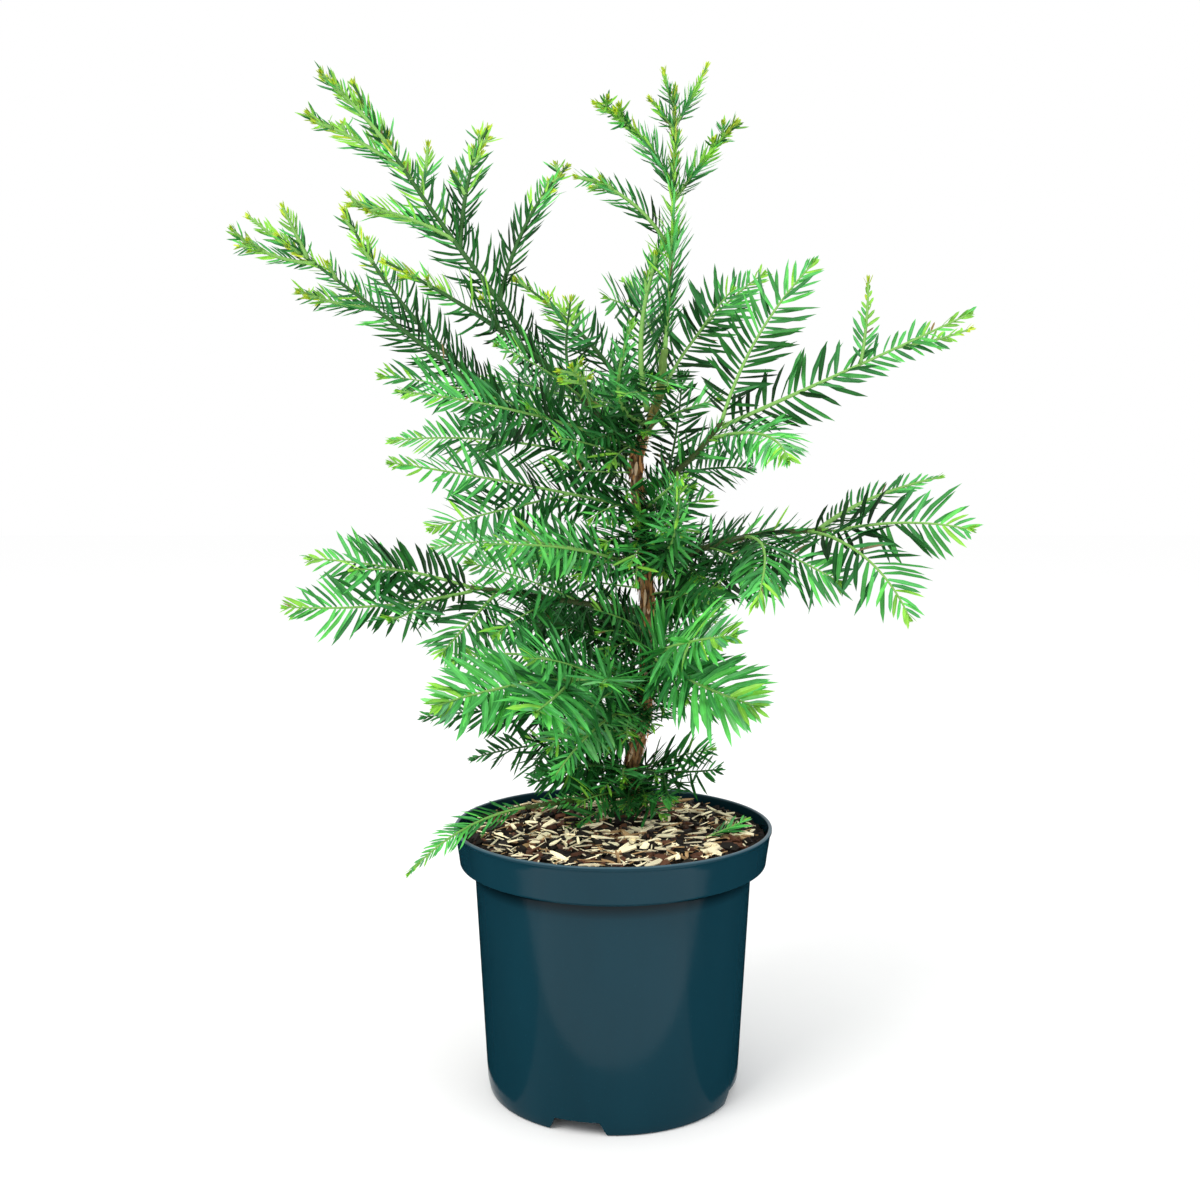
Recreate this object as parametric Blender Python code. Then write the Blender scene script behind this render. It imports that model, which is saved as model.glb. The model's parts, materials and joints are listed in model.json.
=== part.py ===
"""Young coast redwood in a round nursery pot, with its potting mix, trunk, boughs and sprays of needles.

Lengths in the tables are millimetres and angles are degrees. The origin is the middle of the pot's
underside, +Z is up and -Y is the front. Every limb is given by where it leaves its parent (a height on the
trunk, a share of the length elsewhere), the azimuth and climb with which it starts, its length, how far it
bends up or down along that length, how far it turns sideways, and how long its needles are. A mass is a stem
with its shoots: it has a number of extra side twigs, ranks of needles, a needle size, the way it faces and a
tone.
"""

import math
import random
from collections import namedtuple

import bmesh
import bpy
import numpy as np

MM = 0.001
GAP = 0.35

POT_HEIGHT = 160.0
POT_SEGMENTS = 40
RIM_RADIUS = 95.0
COLLAR_FOOT_RADIUS = 91.6
COLLAR_DEPTH = 21.0
COLLAR_UNDERCUT = 5.0
WALL_TOP_RADIUS = 82.7
WALL_FOOT_RADIUS = 75.8
FOOT_RADIUS = 73.5
FOOT_ROUNDING = 6.0
FOOT_RING_WIDTH = 3.2
WALL = 1.5
POT_FLOOR = 1.9
LIP = 2.2
CENTRE_PAD_RADIUS = 46.0
PAD_SLOPE = 4.0
FLOOR_RAISE = 9.5
NOTCHES = 4
NOTCH_AZIMUTH = -106.0
NOTCH_WIDTHS = (34.0, 26.5)
NOTCH_HEIGHT = 8.0
CUT_PAST = 2.0
DRAIN_HOLES = 8
DRAIN_RADIUS = 4.0
DRAIN_SIDES = 12

MIX_CLEAR = 0.4
SOIL_LEVEL = 153.0
SOIL_MOUND_WIDTH = 34.0
SOIL_SEAT_RADIUS = 11.0
SOIL_RINGS = 6
SOIL_ROUGHNESS = 1.1
CHIPS = 24
CHIP_SIZES = ((9.0, 17.0), (2.4, 4.6), (1.2, 2.2))
CHIP_DEPTH = 2.4
CHIP_TILT = 0.12
CHIP_TAPER = 0.55
CHIP_EDGES = (16.0, 24.0)

TRUNK_SIDES = 8
TRUNK_COURSE = (
    (158, 10, 34),
    (192, 13, 30),
    (227, 20, 25),
    (262, 21, 21),
    (293, 21, 18),
    (323, 19, 15),
    (344, 17, 13),
    (365, 14, 10),
    (380, 14, 8),
    (390, 17, 6),
    (399, 22, 4),
    (415, 27, 2),
    (441, 30, 0),
)
TRUNK_GIRTH = (
    (158, 7.6),
    (164, 5.6),
    (175, 4.7),
    (262, 4.2),
    (344, 3.7),
    (380, 3.2),
    (399, 2.8),
    (441, 1.9),
)
TRUNK_STEP = 15.0
BARK_SWELL = 0.03
FLARE_HEIGHT = 12.0
FLARE_LOBE = 0.14

BOUGH_SIDES = 6
BOUGH_ROOT_RADIUS = 1.9
BOUGH_TIP_RADIUS = 1.35
BOUGH_STEP = 12.0

NEEDLE_PITCH = 6.8
NEEDLE_LENGTH = 21.0
NEEDLE_SPREAD = (64.0, 34.0)
NEEDLE_LIFT = 8.0
NEEDLE_STRAY = 9.0
NEEDLE_REACH = (0.62, 1.0, 0.42)
LONGEST_AT = 0.45
THIRD_RANK_REACH = 0.7
NEEDLE_HALF_WIDTHS = (2.0, 1.0)
POT_CLEAR = 4.0
STEM_RADIUS = 1.15
TWIG_RADIUS = 0.85
TIP_TAPER = 0.6
TWIG_LENGTHS = (26.0, 44.0)
TWIG_FORK = 46.0
TWIG_ZONE = (0.3, 0.7)
TWIG_STRAY = 12.0
CLEAR = 0.5
LEAST_ACROSS = 0.2
FRONT = (0.0, -0.86, 0.5)
BACK = (0.0, 0.8, 0.6)
UPWARD = (0.3, 0.2, 0.93)
LEAST_FACING = 0.35
SIDEWAYS = np.array((1.0, 0.0, 0.0))
SEED = 20

FRESH, DARK, PALE, TIP = "needles_fresh", "needles_dark", "needles_pale", "needles_tip"

Limb = namedtuple("Limb", "name parent at azimuth climb length bend turn leaf", defaults=(1.0,))
Mass = namedtuple("Mass", "limb twigs ranks needle face tone shoots",
                  defaults=(0, 2, 1.0, FRONT, FRESH, ()))

BOUGHS = (
    Limb("bough_top_left", "trunk", 371, 195, 57, 71, -22, 4),
    Limb("bough_upper_left", "trunk", 364, 134, 45, 97, -40, 54),
    Limb("bough_low_left", "trunk", 285, 200, 10, 105, -1, -10),
    Limb("bough_foot_left", "trunk", 237, 242, 14, 73, -2, 4),
    Limb("bough_over_rim", "trunk", 172, 225, 3, 78, -2, -8),
    Limb("bough_upper_right", "trunk", 356, 324, 24, 68, 26, -5),
    Limb("bough_mid_right", "trunk", 306, 322, 31, 115, -34, 27),
    Limb("bough_back_high", "trunk", 378, 102, 30, 66, -12, 10),
    Limb("bough_back_low", "trunk", 262, 95, 12, 74, -6, -8),
)

MASSES = (
    Mass(Limb("leader", "trunk", 441, 340, 85, 146, 6, 10), 0, 3, 0.75, tone=TIP, shoots=(
        Limb("left", "leader", 0.58, 171, 79, 74, -67, 49, 0.8),
        Limb("left_fork", "left", 0.66, 242, 5, 18, 20, 0, 0.6),
        Limb("right", "leader", 0.57, 327, 50, 56, -10, 0, 0.8),
        Limb("top_left", "leader", 0.84, 221, 43, 24, -10, 0, 0.55),
        Limb("top_right", "leader", 0.86, 14, 57, 40, 7, 14, 0.6),
        Limb("top_fork", "leader", 0.92, 202, 66, 22, 10, 0, 0.5),
    )),
    Mass(Limb("second_leader", "trunk", 399, 176, 76, 104, 40, 8), 0, 2, 0.95, shoots=(
        Limb("crook", "second_leader", 0.97, 208, 53, 58, -34, -31, 0.75),
    )),
    Mass(Limb("spray_top_left", "bough_top_left", 1.0, 226, 46, 202, 20, -73), 0, 2, 0.95, shoots=(
        Limb("lower_fork", "spray_top_left", 0.47, 203, 27, 60, -24, 0, 0.7),
        Limb("upright", "spray_top_left", 0.44, 80, 78, 80, -27, -23, 0.8),
        Limb("upright_bud", "upright", 0.4, 130, 52, 17, 0, 0, 0.45),
        Limb("inner", "spray_top_left", 0.25, 35, 77, 108, -48, 31, 0.8),
        Limb("tip_low", "spray_top_left", 0.71, 169, 35, 64, -12, -11, 0.6),
        Limb("tip_mid", "spray_top_left", 0.78, 192, 53, 50, -16, 3, 0.6),
        Limb("tip_side", "spray_top_left", 0.63, 84, 41, 34, 40, -7, 0.6),
    )),
    Mass(Limb("spray_left_high", "bough_upper_left", 1.0, 187, 39, 163, -4, 8), 0, 2, 0.95, tone=TIP, shoots=(
        Limb("low_fork", "spray_left_high", 0.58, 160, 4, 54, 18, -8, 0.7),
        Limb("tip_low", "spray_left_high", 0.84, 196, 0, 46, 34, 0, 0.5),
        Limb("tip_mid", "spray_left_high", 0.88, 172, 30, 42, 10, 0, 0.5),
        Limb("tip_high", "spray_left_high", 0.87, 215, 62, 32, 0, 0, 0.55),
    )),
    Mass(Limb("spray_left_high_back", "bough_upper_left", 0.93, 173, 37, 167, 21, -30), 0, 2, 0.95),
    Mass(Limb("spray_left_high_front", "bough_top_left", 0.88, 228, 29, 122, -6, -20), 1, 2, 1.0),
    Mass(Limb("spray_left_a", "trunk", 383, 213, 18, 154, -14, 1), 1),
    Mass(Limb("spray_left_b", "trunk", 348, 205, 12, 154, -4, 6), 0, 2, 1.05, shoots=(
        Limb("lower", "spray_left_b", 0.27, 211, -10, 98, 0, 15),
    )),
    Mass(Limb("spray_left_c", "trunk", 371, 166, 17, 160, -22, -10), 1, 2, 1.0, tone=DARK),
    Mass(Limb("spray_left_d", "bough_low_left", 1.0, 180, 17, 97, -15, -10), 1, 2, 1.15),
    Mass(Limb("spray_left_e", "bough_low_left", 0.93, 199, -11, 109, 17, 9), 0, 2, 1.1, shoots=(
        Limb("toward", "spray_left_e", 0.25, 255, -14, 54, 16, 0),
    )),
    Mass(Limb("spray_left_hanging", "bough_low_left", 0.84, 218, -39, 50, 0, 7), 0, 2, 1.0),
    Mass(Limb("spray_left_f", "trunk", 311, 234, 17, 128, -16, -12), 0, 2, 1.1, shoots=(
        Limb("behind", "spray_left_f", 0.3, 158, 14, 109, -26, 6),
    )),
    Mass(Limb("spray_left_g", "trunk", 273, 154, 5, 98, -13, 22), 2, 2, 1.0, tone=DARK),
    Mass(Limb("spray_low_left_front", "bough_foot_left", 1.0, 210, 3, 98, -13, 10), 0, 2, 1.2, shoots=(
        Limb("toward", "spray_low_left_front", 0.1, 250, -13, 64, 12, 6),
    )),
    Mass(Limb("spray_low_left_high", "bough_foot_left", 0.8, 174, 29, 86, -47, -5), 0, 2, 1.1),
    Mass(Limb("spray_low_left_back", "trunk", 218, 161, 6, 134, -14, 24), 1, 2, 1.0, tone=DARK),
    Mass(Limb("spray_low_left_pale", "trunk", 229, 242, 3, 115, -29, 3), 0, 2, 1.0, tone=PALE),
    Mass(Limb("spray_low_left_thin", "trunk", 201, 159, 2, 111, -22, -3), 0, 2, 0.85, tone=DARK, shoots=(
        Limb("hanging", "spray_low_left_thin", 0.45, 231, -17, 27, -40, 7),
    )),
    Mass(Limb("spray_over_rim", "bough_over_rim", 1.0, 214, 0, 84, -34, 11), 0, 2, 0.62),
    Mass(Limb("sprig_at_foot", "trunk", 176, 266, 2, 62, -6, 3), 0, 2, 0.7, tone=DARK),
    Mass(Limb("spray_centre_back", "trunk", 395, 124, 50, 143, -19, 28), 0, 2, 1.0, tone=PALE),
    Mass(Limb("spray_centre_front", "trunk", 397, 234, 8, 101, 47, 63), 0, 3, 0.95),
    Mass(Limb("spray_centre_dark", "bough_top_left", 0.7, 120, 50, 60, 26, -60), 0, 2, 0.9, tone=DARK),
    Mass(Limb("spray_centre_pale", "bough_top_left", 0.5, 268, 14, 67, 5, -15), 0, 2, 0.85, tone=PALE),
    Mass(Limb("spray_right_high_a", "trunk", 411, 48, 54, 105, -19, -33), 1, 2, 1.05, tone=DARK),
    Mass(Limb("spray_right_high_b", "bough_upper_right", 1.0, 33, 70, 107, -24, -29), 0, 2, 1.1),
    Mass(Limb("spray_right_high_c", "bough_upper_right", 0.92, 358, 24, 148, 0, -21), 0, 2, 1.2, shoots=(
        Limb("upright", "spray_right_high_c", 0.57, 285, 68, 46, 24, 0, 0.4),
    )),
    Mass(Limb("spray_right_drooping", "bough_upper_right", 0.8, 310, 11, 94, -37, -39), 0, 2, 0.95),
    Mass(Limb("spray_right_thin", "trunk", 360, 30, 19, 87, -25, 10), 0, 2, 0.9, tone=DARK, shoots=(
        Limb("upright", "spray_right_thin", 0.2, 59, 60, 66, 26, 0),
    )),
    Mass(Limb("spray_front_right", "trunk", 345, 283, 16, 88, -3, 0), 0, 2, 0.85),
    Mass(Limb("spray_star", "trunk", 316, 294, 4, 84, 62, -25), 0, 3, 0.8, tone=PALE),
    Mass(Limb("spray_right_d", "bough_mid_right", 0.93, 51, 22, 102, -11, -35), 0, 2, 0.75, tone=DARK),
    Mass(Limb("spray_right_e", "bough_mid_right", 1.0, 355, 14, 78, -24, -34), 0, 2, 1.2),
    Mass(Limb("spray_right_f", "bough_mid_right", 0.86, 309, -2, 85, -61, 12), 0, 2, 1.2),
    Mass(Limb("spray_right_hanging", "bough_mid_right", 0.55, 292, 5, 79, -58, -48), 0, 2, 1.1, shoots=(
        Limb("aside", "spray_right_hanging", 0.3, 330, -20, 50, -10, 20),
    )),
    Mass(Limb("spray_right_g", "trunk", 293, 28, 19, 79, -27, -8), 2, 2, 1.0, tone=DARK),
    Mass(Limb("spray_low_right_front", "trunk", 249, 270, 21, 138, -12, 36), 0, 2, 1.3, shoots=(
        Limb("lower", "spray_low_right_front", 0.27, 287, -12, 84, -2, 50),
    )),
    Mass(Limb("spray_low_right", "trunk", 187, 313, 3, 69, 12, -2), 1, 2, 0.9, tone=DARK),
    Mass(Limb("spray_back_top", "trunk", 428, 96, 38, 116, -12, 12), 2, 2, 0.9, BACK),
    Mass(Limb("spray_back_high_a", "bough_back_high", 1.0, 92, 20, 104, -18, -14), 2, 2, 1.05, BACK, shoots=(
        Limb("aside", "spray_back_high_a", 0.22, 60, 18, 62, -16, -8),
    )),
    Mass(Limb("spray_back_high_b", "bough_back_high", 0.85, 140, 24, 98, -22, 16), 2, 2, 1.05, BACK),
    Mass(Limb("spray_back_right", "trunk", 318, 66, 6, 120, -14, -6), 3, 2, 1.1, BACK, DARK),
    Mass(Limb("spray_back_left", "trunk", 306, 118, 12, 134, -20, 12), 3, 2, 1.1, BACK),
    Mass(Limb("spray_back_low_a", "bough_back_low", 1.0, 74, 6, 96, -18, -12), 2, 2, 1.1, BACK, shoots=(
        Limb("aside", "spray_back_low_a", 0.2, 30, 8, 58, -12, -8),
    )),
    Mass(Limb("spray_back_low_b", "bough_back_low", 0.85, 132, 8, 90, -18, 12), 2, 2, 1.1, BACK, DARK),
    Mass(Limb("spray_back_foot", "trunk", 208, 108, 6, 96, -14, 10), 2, 2, 0.9, BACK, DARK),
)

COLOURS = {
    "pot_plastic": (0.013, 0.05, 0.075),
    "potting_mix": (0.05, 0.033, 0.02),
    "bark": (0.3, 0.14, 0.06),
    "bough": (0.1, 0.16, 0.05),
    FRESH: (0.06, 0.34, 0.07),
    DARK: (0.02, 0.16, 0.05),
    PALE: (0.2, 0.5, 0.24),
    TIP: (0.24, 0.52, 0.06),
}
ROUGHNESS = {"pot_plastic": 0.38, "potting_mix": 0.95, "bark": 0.85, "bough": 0.6}
LEAF_ROUGHNESS = 0.45
SMOOTH_ANGLE = 35.0


def clear_scene():
    for obj in list(bpy.data.objects):
        bpy.data.objects.remove(obj, do_unlink=True)


def finish(name):
    """The material called name, made on first use."""
    material = bpy.data.materials.get(name)
    if material is None:
        material = bpy.data.materials.new(name)
        material.use_nodes = True
        shader = material.node_tree.nodes["Principled BSDF"]
        shader.inputs["Base Color"].default_value = (*COLOURS[name], 1.0)
        shader.inputs["Roughness"].default_value = ROUGHNESS.get(name, LEAF_ROUGHNESS)
        shader.inputs["Metallic"].default_value = 0.0
        material.diffuse_color = (*COLOURS[name], 1.0)
    return material


def solid(name, points, faces, material, smooth=False):
    """One object from points in millimetres, in the scene's collection."""
    mesh = bpy.data.meshes.new(name)
    mesh.from_pydata([tuple(p) for p in np.asarray(points) * MM], [], faces)
    mesh.validate()
    mesh.materials.append(finish(material))
    if smooth:
        round_off(mesh)
    obj = bpy.data.objects.new(name, mesh)
    bpy.context.scene.collection.objects.link(obj)
    return obj


def round_off(mesh):
    mesh.shade_smooth()
    mesh.set_sharp_from_angle(angle=math.radians(SMOOTH_ANGLE))


def apply_modifiers(obj):
    graph = bpy.context.evaluated_depsgraph_get()
    mesh = bpy.data.meshes.new_from_object(obj.evaluated_get(graph))
    obj.modifiers.clear()
    old, obj.data = obj.data, mesh
    bpy.data.meshes.remove(old)
    mesh.name = obj.name


def boolean(obj, others, operation, solver="EXACT"):
    """Joins or cuts obj with all the others at once, and removes them."""
    group = bpy.data.collections.new(obj.name + "_with")
    bpy.context.scene.collection.children.link(group)
    for other in others:
        bpy.context.scene.collection.objects.unlink(other)
        group.objects.link(other)
    modifier = obj.modifiers.new("Boolean", "BOOLEAN")
    modifier.operation = operation
    modifier.solver = solver
    modifier.operand_type = "COLLECTION"
    modifier.collection = group
    apply_modifiers(obj)
    for other in others:
        bpy.data.objects.remove(other, do_unlink=True)
    bpy.data.collections.remove(group)


def unit(vector):
    return vector / max(np.linalg.norm(vector), 1e-9)


def heading(azimuth, climb):
    a, c = math.radians(azimuth), math.radians(climb)
    return np.array((math.cos(c) * math.cos(a), math.cos(c) * math.sin(a), math.sin(c)))


def grow(start, limb, step):
    """Points along a limb from its start, one every step or so."""
    count = max(3, round(limb.length / step))
    points = [np.asarray(start, float)]
    for i in range(count):
        share = (i + 0.5) / count
        way = heading(limb.azimuth + limb.turn * share, limb.climb + limb.bend * share)
        points.append(points[-1] + way * (limb.length / count))
    return np.array(points)


def along(path, share):
    """The point and the direction at a share of a path's length."""
    place = share * (len(path) - 1)
    i = min(int(place), len(path) - 2)
    return path[i] + (path[i + 1] - path[i]) * (place - i), unit(path[i + 1] - path[i])


def trunk_point(height):
    heights, xs, ys = np.array(TRUNK_COURSE, float).T
    return np.array((np.interp(height, heights, xs), np.interp(height, heights, ys), height))


def trunk_radius(height):
    girth = np.array(TRUNK_GIRTH, float)
    return float(np.interp(height, girth[:, 0], girth[:, 1]))


def ring_points(radius, height):
    steps = (2 * math.pi * i / POT_SEGMENTS for i in range(POT_SEGMENTS))
    return [(radius * math.cos(a), radius * math.sin(a), height) for a in steps]


def ring_faces(rings):
    """Faces of a closed solid whose points are a bottom pole, rings from the bottom up, and a top pole."""
    faces = []
    for i in range(POT_SEGMENTS):
        j = (i + 1) % POT_SEGMENTS
        faces.append((0, 1 + j, 1 + i))
        for k in range(rings - 1):
            a, b = 1 + k * POT_SEGMENTS, 1 + (k + 1) * POT_SEGMENTS
            faces.append((a + i, a + j, b + j, b + i))
        last = 1 + (rings - 1) * POT_SEGMENTS
        faces.append((last + i, last + j, last + POT_SEGMENTS))
    return faces


def collar_bottom():
    return POT_HEIGHT - COLLAR_DEPTH


def inside_of_pot():
    """The inside of the pot from the rim down to the floor, as radius and height."""
    under = collar_bottom()
    return (
        (RIM_RADIUS - LIP, POT_HEIGHT),
        (RIM_RADIUS - LIP - 0.3, POT_HEIGHT - 4.0),
        (COLLAR_FOOT_RADIUS - WALL - 0.4, under + WALL),
        (COLLAR_FOOT_RADIUS - WALL - 2.1, under + 0.4),
        (WALL_TOP_RADIUS - WALL + 1.0, under - 1.8),
        (WALL_TOP_RADIUS - WALL, under - COLLAR_UNDERCUT),
        (WALL_FOOT_RADIUS - WALL, FLOOR_RAISE + WALL),
        (CENTRE_PAD_RADIUS + PAD_SLOPE - WALL, FLOOR_RAISE + WALL),
        (CENTRE_PAD_RADIUS - WALL, POT_FLOOR),
    )


def make_pot():
    under = collar_bottom()
    channel_radius = FOOT_RADIUS - FOOT_RING_WIDTH - 2.0
    outside = (
        (CENTRE_PAD_RADIUS, 0.0),
        (CENTRE_PAD_RADIUS + PAD_SLOPE, FLOOR_RAISE),
        (channel_radius, FLOOR_RAISE),
        (FOOT_RADIUS - FOOT_RING_WIDTH, 0.0),
        (FOOT_RADIUS, 0.0),
        (FOOT_RADIUS + 1.5, 1.4),
        (WALL_FOOT_RADIUS, FOOT_ROUNDING),
        (WALL_TOP_RADIUS, under - COLLAR_UNDERCUT),
        (WALL_TOP_RADIUS + 1.0, under - COLLAR_UNDERCUT + 1.6),
        (COLLAR_FOOT_RADIUS - 2.2, under - 1.2),
        (COLLAR_FOOT_RADIUS, under + 1.2),
        (RIM_RADIUS - 0.7, POT_HEIGHT - 3.4),
        (RIM_RADIUS, POT_HEIGHT - 2.2),
        (RIM_RADIUS - 0.6, POT_HEIGHT),
    )
    profile = outside + inside_of_pot()
    points = [(0.0, 0.0, 0.0)]
    for radius, height in profile:
        points += ring_points(radius, height)
    points.append((0.0, 0.0, POT_FLOOR))
    pot = solid("pot", points, ring_faces(len(profile)), "pot_plastic")
    cutters = []
    for k in range(NOTCHES):
        azimuth = math.radians(NOTCH_AZIMUTH + 360 * k / NOTCHES)
        cutters.append(notch_cutter(f"notch_{k}", azimuth))
    for k in range(DRAIN_HOLES):
        azimuth = math.radians(NOTCH_AZIMUTH + 360 * (k + 0.5) / DRAIN_HOLES)
        middle = (CENTRE_PAD_RADIUS + PAD_SLOPE + channel_radius) / 2
        cutters.append(drain_cutter(f"drain_{k}", azimuth, middle))
    boolean(pot, cutters, "DIFFERENCE")
    round_off(pot.data)


def notch_cutter(name, azimuth):
    """A trapezoid prism across the foot ring, wider at the ground."""
    inner, outer = FOOT_RADIUS - FOOT_RING_WIDTH - CUT_PAST * 2, WALL_FOOT_RADIUS + CUT_PAST * 2
    wide, narrow = NOTCH_WIDTHS[0] / 2, NOTCH_WIDTHS[1] / 2
    wide += (wide - narrow) * CUT_PAST / NOTCH_HEIGHT
    points = []
    for radius in (inner, outer):
        for height, half in ((-CUT_PAST, wide), (NOTCH_HEIGHT, narrow)):
            for side in (-half, half):
                x = radius * math.cos(azimuth) - side * math.sin(azimuth)
                y = radius * math.sin(azimuth) + side * math.cos(azimuth)
                points.append((x, y, height))
    faces = [(0, 1, 3, 2), (4, 6, 7, 5), (0, 4, 5, 1), (2, 3, 7, 6), (0, 2, 6, 4), (1, 5, 7, 3)]
    return cutter(name, points, faces)


def drain_cutter(name, azimuth, radius):
    """A short upright prism through the raised part of the floor."""
    x, y = radius * math.cos(azimuth), radius * math.sin(azimuth)
    ends = np.array(((x, y, FLOOR_RAISE - CUT_PAST), (x, y, FLOOR_RAISE + WALL + CUT_PAST)))
    return cutter(name, *tube(ends, (DRAIN_RADIUS, DRAIN_RADIUS), DRAIN_SIDES))


def cutter(name, points, faces):
    obj = solid(name, points, faces, "pot_plastic")
    obj.hide_render = True
    obj.display_type = "WIRE"
    shell = bmesh.new()
    shell.from_mesh(obj.data)
    bmesh.ops.recalc_face_normals(shell, faces=shell.faces)
    shell.to_mesh(obj.data)
    shell.free()
    return obj


def soil_height(x, y, bump):
    """The potting mix's surface: level, mounded round the trunk's foot, with a flat seat under it."""
    foot = trunk_point(TRUNK_COURSE[0][0])
    distance = math.hypot(x - foot[0], y - foot[1])
    seat = TRUNK_COURSE[0][0] - GAP
    if distance < SOIL_SEAT_RADIUS:
        return seat
    share = min(1.0, (distance - SOIL_SEAT_RADIUS) / SOIL_MOUND_WIDTH)
    return SOIL_LEVEL + (seat - SOIL_LEVEL) * (1 - share) ** 2 + bump * min(1.0, share * 4)


def make_potting_mix():
    """The filling: its sides keep clear of the pot's inside, and splinters of bark lie in its top."""
    rng = random.Random(SEED)
    foot = trunk_point(TRUNK_COURSE[0][0])
    sides = [(radius - MIX_CLEAR, height + MIX_CLEAR) for radius, height in reversed(inside_of_pot()[2:])]
    top_radius = RIM_RADIUS - LIP - 1.2 - MIX_CLEAR
    points = [(0.0, 0.0, sides[0][1])]
    for radius, height in sides:
        points += ring_points(radius, height)
    for k in range(SOIL_RINGS, 0, -1):
        share = k / SOIL_RINGS
        for x, y, _ in ring_points(top_radius * share, 0.0):
            x += foot[0] * (1 - share)
            y += foot[1] * (1 - share)
            points.append((x, y, soil_height(x, y, rng.uniform(-SOIL_ROUGHNESS, SOIL_ROUGHNESS))))
    points.append((foot[0], foot[1], soil_height(foot[0], foot[1], 0.0)))
    mix = solid("potting_mix", points, ring_faces(len(sides) + SOIL_RINGS), "potting_mix")
    chips = [make_chip(f"chip_{k}", rng) for k in range(CHIPS)]
    boolean(mix, chips, "UNION")


def make_chip(name, rng):
    """A splinter of bark or wood lying half sunk in the mix, away from the rim and from the trunk."""
    length, width, height = (rng.uniform(*size) for size in CHIP_SIZES)
    foot = trunk_point(TRUNK_COURSE[0][0])
    from_rim, from_trunk = CHIP_EDGES
    x, y = foot[:2]
    while math.hypot(x - foot[0], y - foot[1]) < from_trunk:
        azimuth, radius = rng.uniform(0, 2 * math.pi), (RIM_RADIUS - from_rim) * math.sqrt(rng.random())
        x, y = radius * math.cos(azimuth), radius * math.sin(azimuth)
    turn, tilt = rng.uniform(0, math.pi), rng.uniform(-CHIP_TILT, CHIP_TILT)
    z = soil_height(x, y, 0.0)
    points = []
    for end, taper in ((-1, 1.0), (1, CHIP_TAPER)):
        for side, top in ((-1, -CHIP_DEPTH), (1, -CHIP_DEPTH), (1, height), (-1, height)):
            u, v = end * length / 2, side * taper * width / 2
            along_x = u * math.cos(turn) - v * math.sin(turn)
            along_y = u * math.sin(turn) + v * math.cos(turn)
            points.append((x + along_x, y + along_y, z + top + u * tilt))
    faces = [(0, 3, 2, 1), (4, 5, 6, 7), (0, 1, 5, 4), (1, 2, 6, 5), (2, 3, 7, 6), (3, 0, 4, 7)]
    return solid(name, points, faces, "potting_mix")


def frames(path, face):
    """Direction, side and normal at each point, the normal leaning towards the way the spray faces."""
    result = []
    for i in range(len(path)):
        ahead = unit(path[min(i + 1, len(path) - 1)] - path[max(i - 1, 0)])
        wanted = np.asarray(face, float)
        normal = wanted - ahead * wanted.dot(ahead)
        if np.linalg.norm(normal) < LEAST_FACING:
            normal = normal + SIDEWAYS - ahead * SIDEWAYS.dot(ahead)
        normal = unit(normal)
        result.append((ahead, np.cross(normal, ahead), normal))
    return result


def tube(path, radii, sides):
    """Points and faces of a closed tapering tube."""
    points = []
    for (_, side, normal), centre, radius in zip(frames(path, UPWARD), path, radii):
        for i in range(sides):
            a = 2 * math.pi * i / sides
            points.append(centre + (side * math.cos(a) + normal * math.sin(a)) * radius)
    faces = [tuple(range(sides - 1, -1, -1))]
    for k in range(len(path) - 1):
        for i in range(sides):
            j = (i + 1) % sides
            faces.append((k * sides + i, k * sides + j, (k + 1) * sides + j, (k + 1) * sides + i))
    faces.append(tuple(range((len(path) - 1) * sides, len(path) * sides)))
    return points, faces


def trunk_heights():
    """Heights of the trunk's rings: close together in the flare, then at every bend and between them."""
    stations = [station[0] for station in TRUNK_COURSE]
    heights = [stations[0] + FLARE_HEIGHT * share for share in (0.0, 0.2, 0.5, 1.0)]
    for low, high in zip(stations[1:-1], stations[2:]):
        count = max(1, round((high - low) / TRUNK_STEP))
        heights += [low + (high - low) * k / count for k in range(count)]
    return heights + [stations[-1]]


def make_trunk():
    """The trunk from its flat cut on the mix to the fork, with root flare, lean and slight swellings."""
    rng = random.Random(SEED + 1)
    foot = TRUNK_COURSE[0][0]
    heights = trunk_heights()
    points = []
    for height in heights:
        centre = trunk_point(height)
        flare = max(0.0, 1 - (height - foot) / FLARE_HEIGHT)
        swell = 1 + rng.uniform(-BARK_SWELL, BARK_SWELL) * (flare == 0)
        for i in range(TRUNK_SIDES):
            a = 2 * math.pi * i / TRUNK_SIDES
            radius = trunk_radius(height) * swell * (1 + FLARE_LOBE * flare * math.cos(3 * a + 0.6))
            points.append(centre + np.array((math.cos(a), math.sin(a), 0.0)) * radius)
    faces = [tuple(range(TRUNK_SIDES - 1, -1, -1))]
    for k in range(len(heights) - 1):
        for i in range(TRUNK_SIDES):
            j = (i + 1) % TRUNK_SIDES
            a, b = k * TRUNK_SIDES, (k + 1) * TRUNK_SIDES
            faces.append((a + i, a + j, b + j, b + i))
    last = (len(heights) - 1) * TRUNK_SIDES
    faces.append(tuple(range(last, last + TRUNK_SIDES)))
    solid("trunk", points, faces, "bark", smooth=True)


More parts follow.
